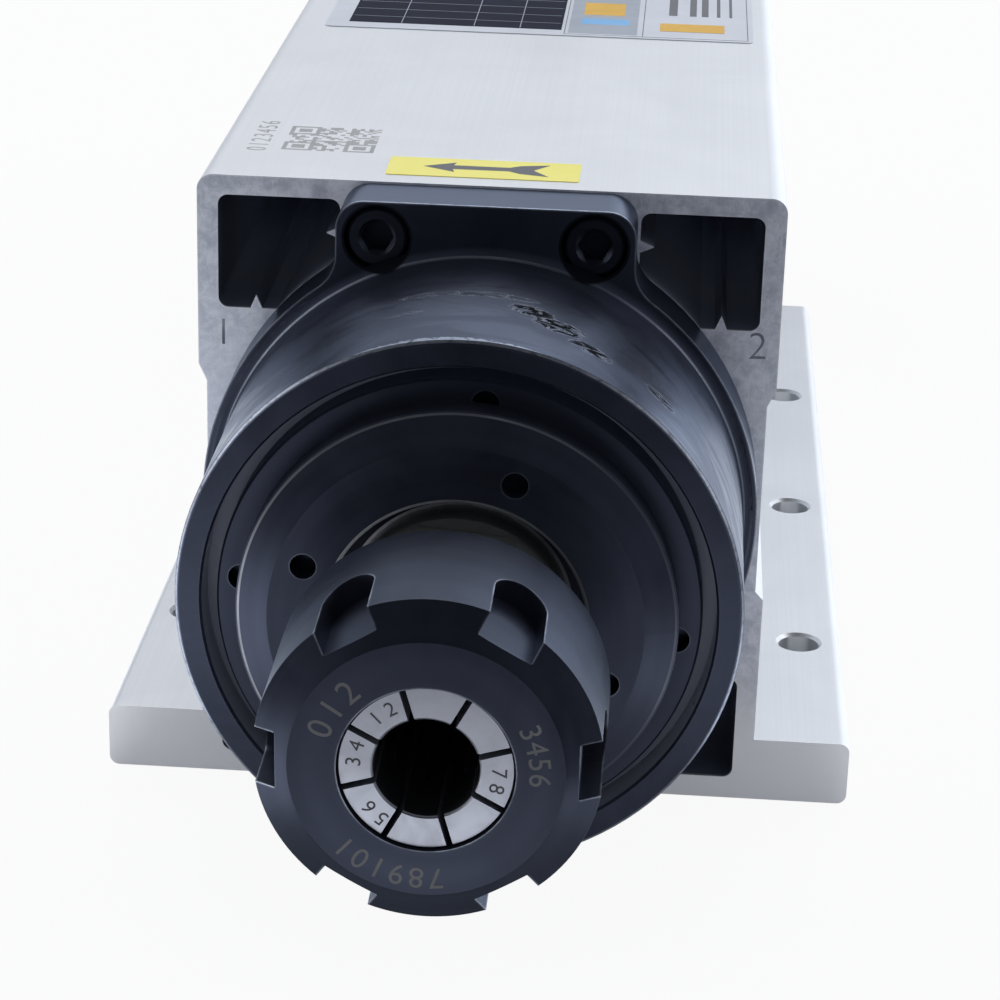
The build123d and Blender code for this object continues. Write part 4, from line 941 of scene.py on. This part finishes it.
def digits(title, letters, material, body, thickness=0.012, thinner=0.0):
    """letters is a list of (character, height in mm, matrix). The matrix puts the character's middle in
    place, with its own X to the right, Y up and Z out of the surface. thinner takes that many
    millimetres off each side of its strokes."""
    bm = bmesh.new()
    for character, size, seat in letters:
        curve = bpy.data.curves.new("digit", "FONT")
        curve.body = character
        curve.size = size * mm * font_per_height
        curve.align_x = "CENTER"
        curve.align_y = "CENTER"
        curve.extrude = thickness * mm
        curve.offset = -thinner * mm
        curve.resolution_u = 4
        holder = add_object("digit", curve)
        bpy.context.view_layer.update()
        shape = bpy.data.meshes.new_from_object(holder)
        shape.transform(seat)
        bm.from_mesh(shape)
        bpy.data.objects.remove(holder)
        bpy.data.curves.remove(curve)
        bpy.data.meshes.remove(shape)
    finish_piece(bm, title, material, body)


def ring_seat(angle, radius, face_y):
    """A place on a front face, read clockwise with its foot towards the axis. The angle is in
    degrees from +X towards +Z."""
    turn = math.radians(angle)
    up = Vector((math.cos(turn), 0, math.sin(turn)))
    right = Vector((math.sin(turn), 0, -math.cos(turn)))
    out = Vector((0, -1, 0))
    seat = Matrix((right, up, out)).transposed().to_4x4()
    seat.translation = Vector((0, face_y, axis_height)) + up * radius * mm
    return seat


def ring_text(text, first, last, radius, face_y, size):
    """Characters spread evenly between two angles."""
    step = (last - first) / (len(text) - 1)
    return [(character, size, ring_seat(first + index * step, radius, face_y))
            for index, character in enumerate(text)]


# %% Digits on the nut, the collet and the body
nut_mark = printed("nut_engraving", (0.115, 0.115, 0.120, 1), (0.17, 0.17, 0.17, 1), 0.55, metallic=0.2)
collet_mark = printed("collet_engraving", (0.05, 0.05, 0.055, 1), (0.09, 0.09, 0.10, 1), 0.50)
nut_letters = ring_text("012", 159, 134, 13.3, nut_face, 3.1)
nut_letters += ring_text("3456", 25, -2, 13.4, nut_face, 2.7)
nut_letters += ring_text("789101", -84, -132, 14.2, nut_face, 2.8)
digits("nut_digits", nut_letters, nut_mark, "nut")
collet_letters = []
half_pair = 7.0
for text, middle in (("12", 127.0), ("34", 170.0), ("56", -134.0), ("78", -7.5)):
    collet_letters += ring_text(text, middle + half_pair, middle - half_pair, 8.6, collet_face, 1.9)
digits("collet_digits", collet_letters, collet_mark, "collet")

# %% Digits stamped into the body's end and marked on its top
# painted shade: the stamped digits are painted dark, as the shade inside a stamped stroke
stamp_shade = printed("stamped_aluminium_shade", (0.13, 0.14, 0.18, 1), (0.36, 0.38, 0.44, 1), 0.5, metallic=0.3)
corner_letters = []
for character, px, pz in (("1", -38.3, 21.8), ("2", 38.9, 23.4)):
    seat = Matrix.Rotation(math.radians(90), 4, "X")
    seat.translation = Vector((px * mm, front, axis_height + pz * mm))
    corner_letters.append((character, 4.2, seat))
digits("end_face_digits", corner_letters, stamp_shade, "housing", thinner=0.08)

row_x, row_start, row_pitch = -35.4, 14.8, 2.55
row_letters = []
for index, character in enumerate("0123456"):
    seat = Matrix(((0, -1, 0, row_x * mm), (1, 0, 0, front + (row_start + row_pitch * index) * mm),
                   (0, 0, 1, body_top), (0, 0, 0, 1)))
    row_letters.append((character, 3.0, seat))
digits("top_face_digits", row_letters, etched, "housing", thickness=0.006)

# %% [markdown]
# ## Floor, background and lamps
# The floor is pale and the background white, and a ray from the camera sees both at full white.
# A ray that a shiny surface throws sees the floor as studio lamps light it: brightest in front of the
# nose, dim below it and at its near edge. All other rays see plain paint, so the floor doesn't light
# the object from below, and the object's shadow stays on it.
# The room behind the camera is dark, as a studio is, and dark metal shows that.

# %% Floor
floor_size, floor_drop = 1.6, 0.0002
near_edge = (0, -0.34, 0)
bm = bmesh.new()
bmesh.ops.create_grid(bm, x_segments=24, y_segments=24, size=floor_size)
bmesh.ops.bisect_plane(bm, geom=bm.verts[:] + bm.edges[:] + bm.faces[:], plane_co=near_edge,
                       plane_no=(1.2, -1, 0), clear_outer=True)
bmesh.ops.translate(bm, verts=bm.verts, vec=(0, 0, -floor_drop))
mesh = bpy.data.meshes.new("floor")
bm.to_mesh(mesh)
bm.free()
floor = add_object("floor", mesh)

# %% Floor material
floor_paint, tree = begin("floor_paint")
path = put(tree, "LightPath").outputs
seen = most(tree, path["Is Transmission Ray"], path["Is Glossy Ray"], path["Is Camera Ray"])
paint = put(tree, "BsdfDiffuse", {"Color": (0.82, 0.82, 0.83, 1)}).outputs[0]
floor_x, floor_y, _ = put(tree, "SeparateXYZ", {0: put(tree, "TexCoord").outputs["Object"]}).outputs
before_nose = ramp(tree, floor_y, -0.200, -0.260, 0.28, 1.70)
beside_nose = ramp(tree, calc(tree, "ABSOLUTE", floor_x), 0.050, 0.070, 0.0, 2.0)
towards_camera = ramp(tree, floor_y, -0.262, -0.32, 1.0, 0.08)
left_to_right = ramp(tree, floor_x, -0.08, 0.05, 1.15, 0.92)
level = times(tree, most(tree, before_nose, beside_nose), towards_camera, left_to_right)
level = put(tree, "Mix", {0: ramp(tree, floor_y, -0.10, 0.10), 2: level, 3: 1.4}).outputs[0]
level = put(tree, "Mix", {0: path["Is Camera Ray"], 2: level, 3: 1.0}).outputs[0]
glow_tint = dye(tree, path["Is Camera Ray"], (0.94, 0.96, 1.0, 1), (1, 1, 1, 1))
glow = put(tree, "Emission", {"Color": glow_tint, "Strength": level}).outputs[0]
shown = put(tree, "MixShader", {0: times(tree, seen, 0.92), 1: paint, 2: glow}).outputs[0]
put(tree, "OutputMaterial", {"Surface": shown})
mesh.materials.append(floor_paint)
print("floor", floor.dimensions)

# %% World
room = bpy.data.worlds.new("studio")
bpy.context.scene.world = room
room.use_nodes = True
tree = room.node_tree
tree.nodes.clear()
path = put(tree, "LightPath").outputs
to_x, to_y, to_z = put(tree, "SeparateXYZ", {0: put(tree, "TexCoord").outputs["Generated"]}).outputs
behind = ramp(tree, to_y, -0.15, 0.45, 0.055, 1.0)
overhead = ramp(tree, to_z, 0.26, 0.80, 1.0, 0.10)
sideways = ramp(tree, to_x, -0.05, 0.42, 0.92, 2.1)
room_light = times(tree, behind, overhead, sideways)
soft_light = 0.52
mirrored = most(tree, path["Is Glossy Ray"], path["Is Transmission Ray"])
strength = put(tree, "Mix", {0: mirrored, 2: soft_light, 3: room_light}).outputs[0]
strength = put(tree, "Mix", {0: path["Is Camera Ray"], 2: strength, 3: 1.0}).outputs[0]
tint = dye(tree, path["Is Camera Ray"], (0.88, 0.92, 1.0, 1), (1, 1, 1, 1))
back = put(tree, "Background", {"Color": tint, "Strength": strength}).outputs[0]
put(tree, "OutputWorld", {"Surface": back})
print("world", room.name)


# %% [markdown]
# ### Softboxes
# Three large, weak lamps from the back and from both sides lift the edges of the body.
# A large lamp throws a soft shadow, and a weak one leaves pale metal below full white.

# %% Lamps
def softbox(title, spot, aim, width, height, power):
    """A rectangular lamp at spot that looks at aim."""
    lamp = bpy.data.lights.new(title, "AREA")
    lamp.shape = "RECTANGLE"
    lamp.size, lamp.size_y = width, height
    lamp.energy = power
    holder = add_object(title, lamp)
    holder.location = spot
    holder.rotation_euler = (Vector(aim) - Vector(spot)).to_track_quat("-Z", "Y").to_euler()


softbox("back_softbox", (0.0, 0.75, 0.80), (0, 0, 0.05), 1.2, 0.7, 3.0)
softbox("left_softbox", (-0.85, -0.10, 0.45), (0, -0.05, 0.05), 0.5, 0.7, 3.0)
softbox("right_softbox", (0.85, -0.05, 0.45), (0, -0.05, 0.05), 0.5, 0.7, 3.0)

# %% [markdown]
# ## Camera
# The camera looks down at the nut from the front, a hand's width above it, with a long lens.

# %% Camera
camera_data = bpy.data.cameras.new("camera")
camera_data.sensor_width = 36
camera_data.lens = 106.17
camera_data.clip_start = 0.01
camera = add_object("camera", camera_data)
camera.location = (0.025694, front - 0.402788, axis_height + 0.158640)
camera.rotation_euler = [math.radians(turn) for turn in (68.2686, -1.5336, 3.9018)]
bpy.context.scene.camera = camera
bpy.context.scene.view_settings.view_transform = "Standard"
print("camera", [round(part, 4) for part in camera.location])

# %% [markdown]
# ## The end
# The finished object has to be as large as the CAD model.

# %% Finish
print("scene finished")
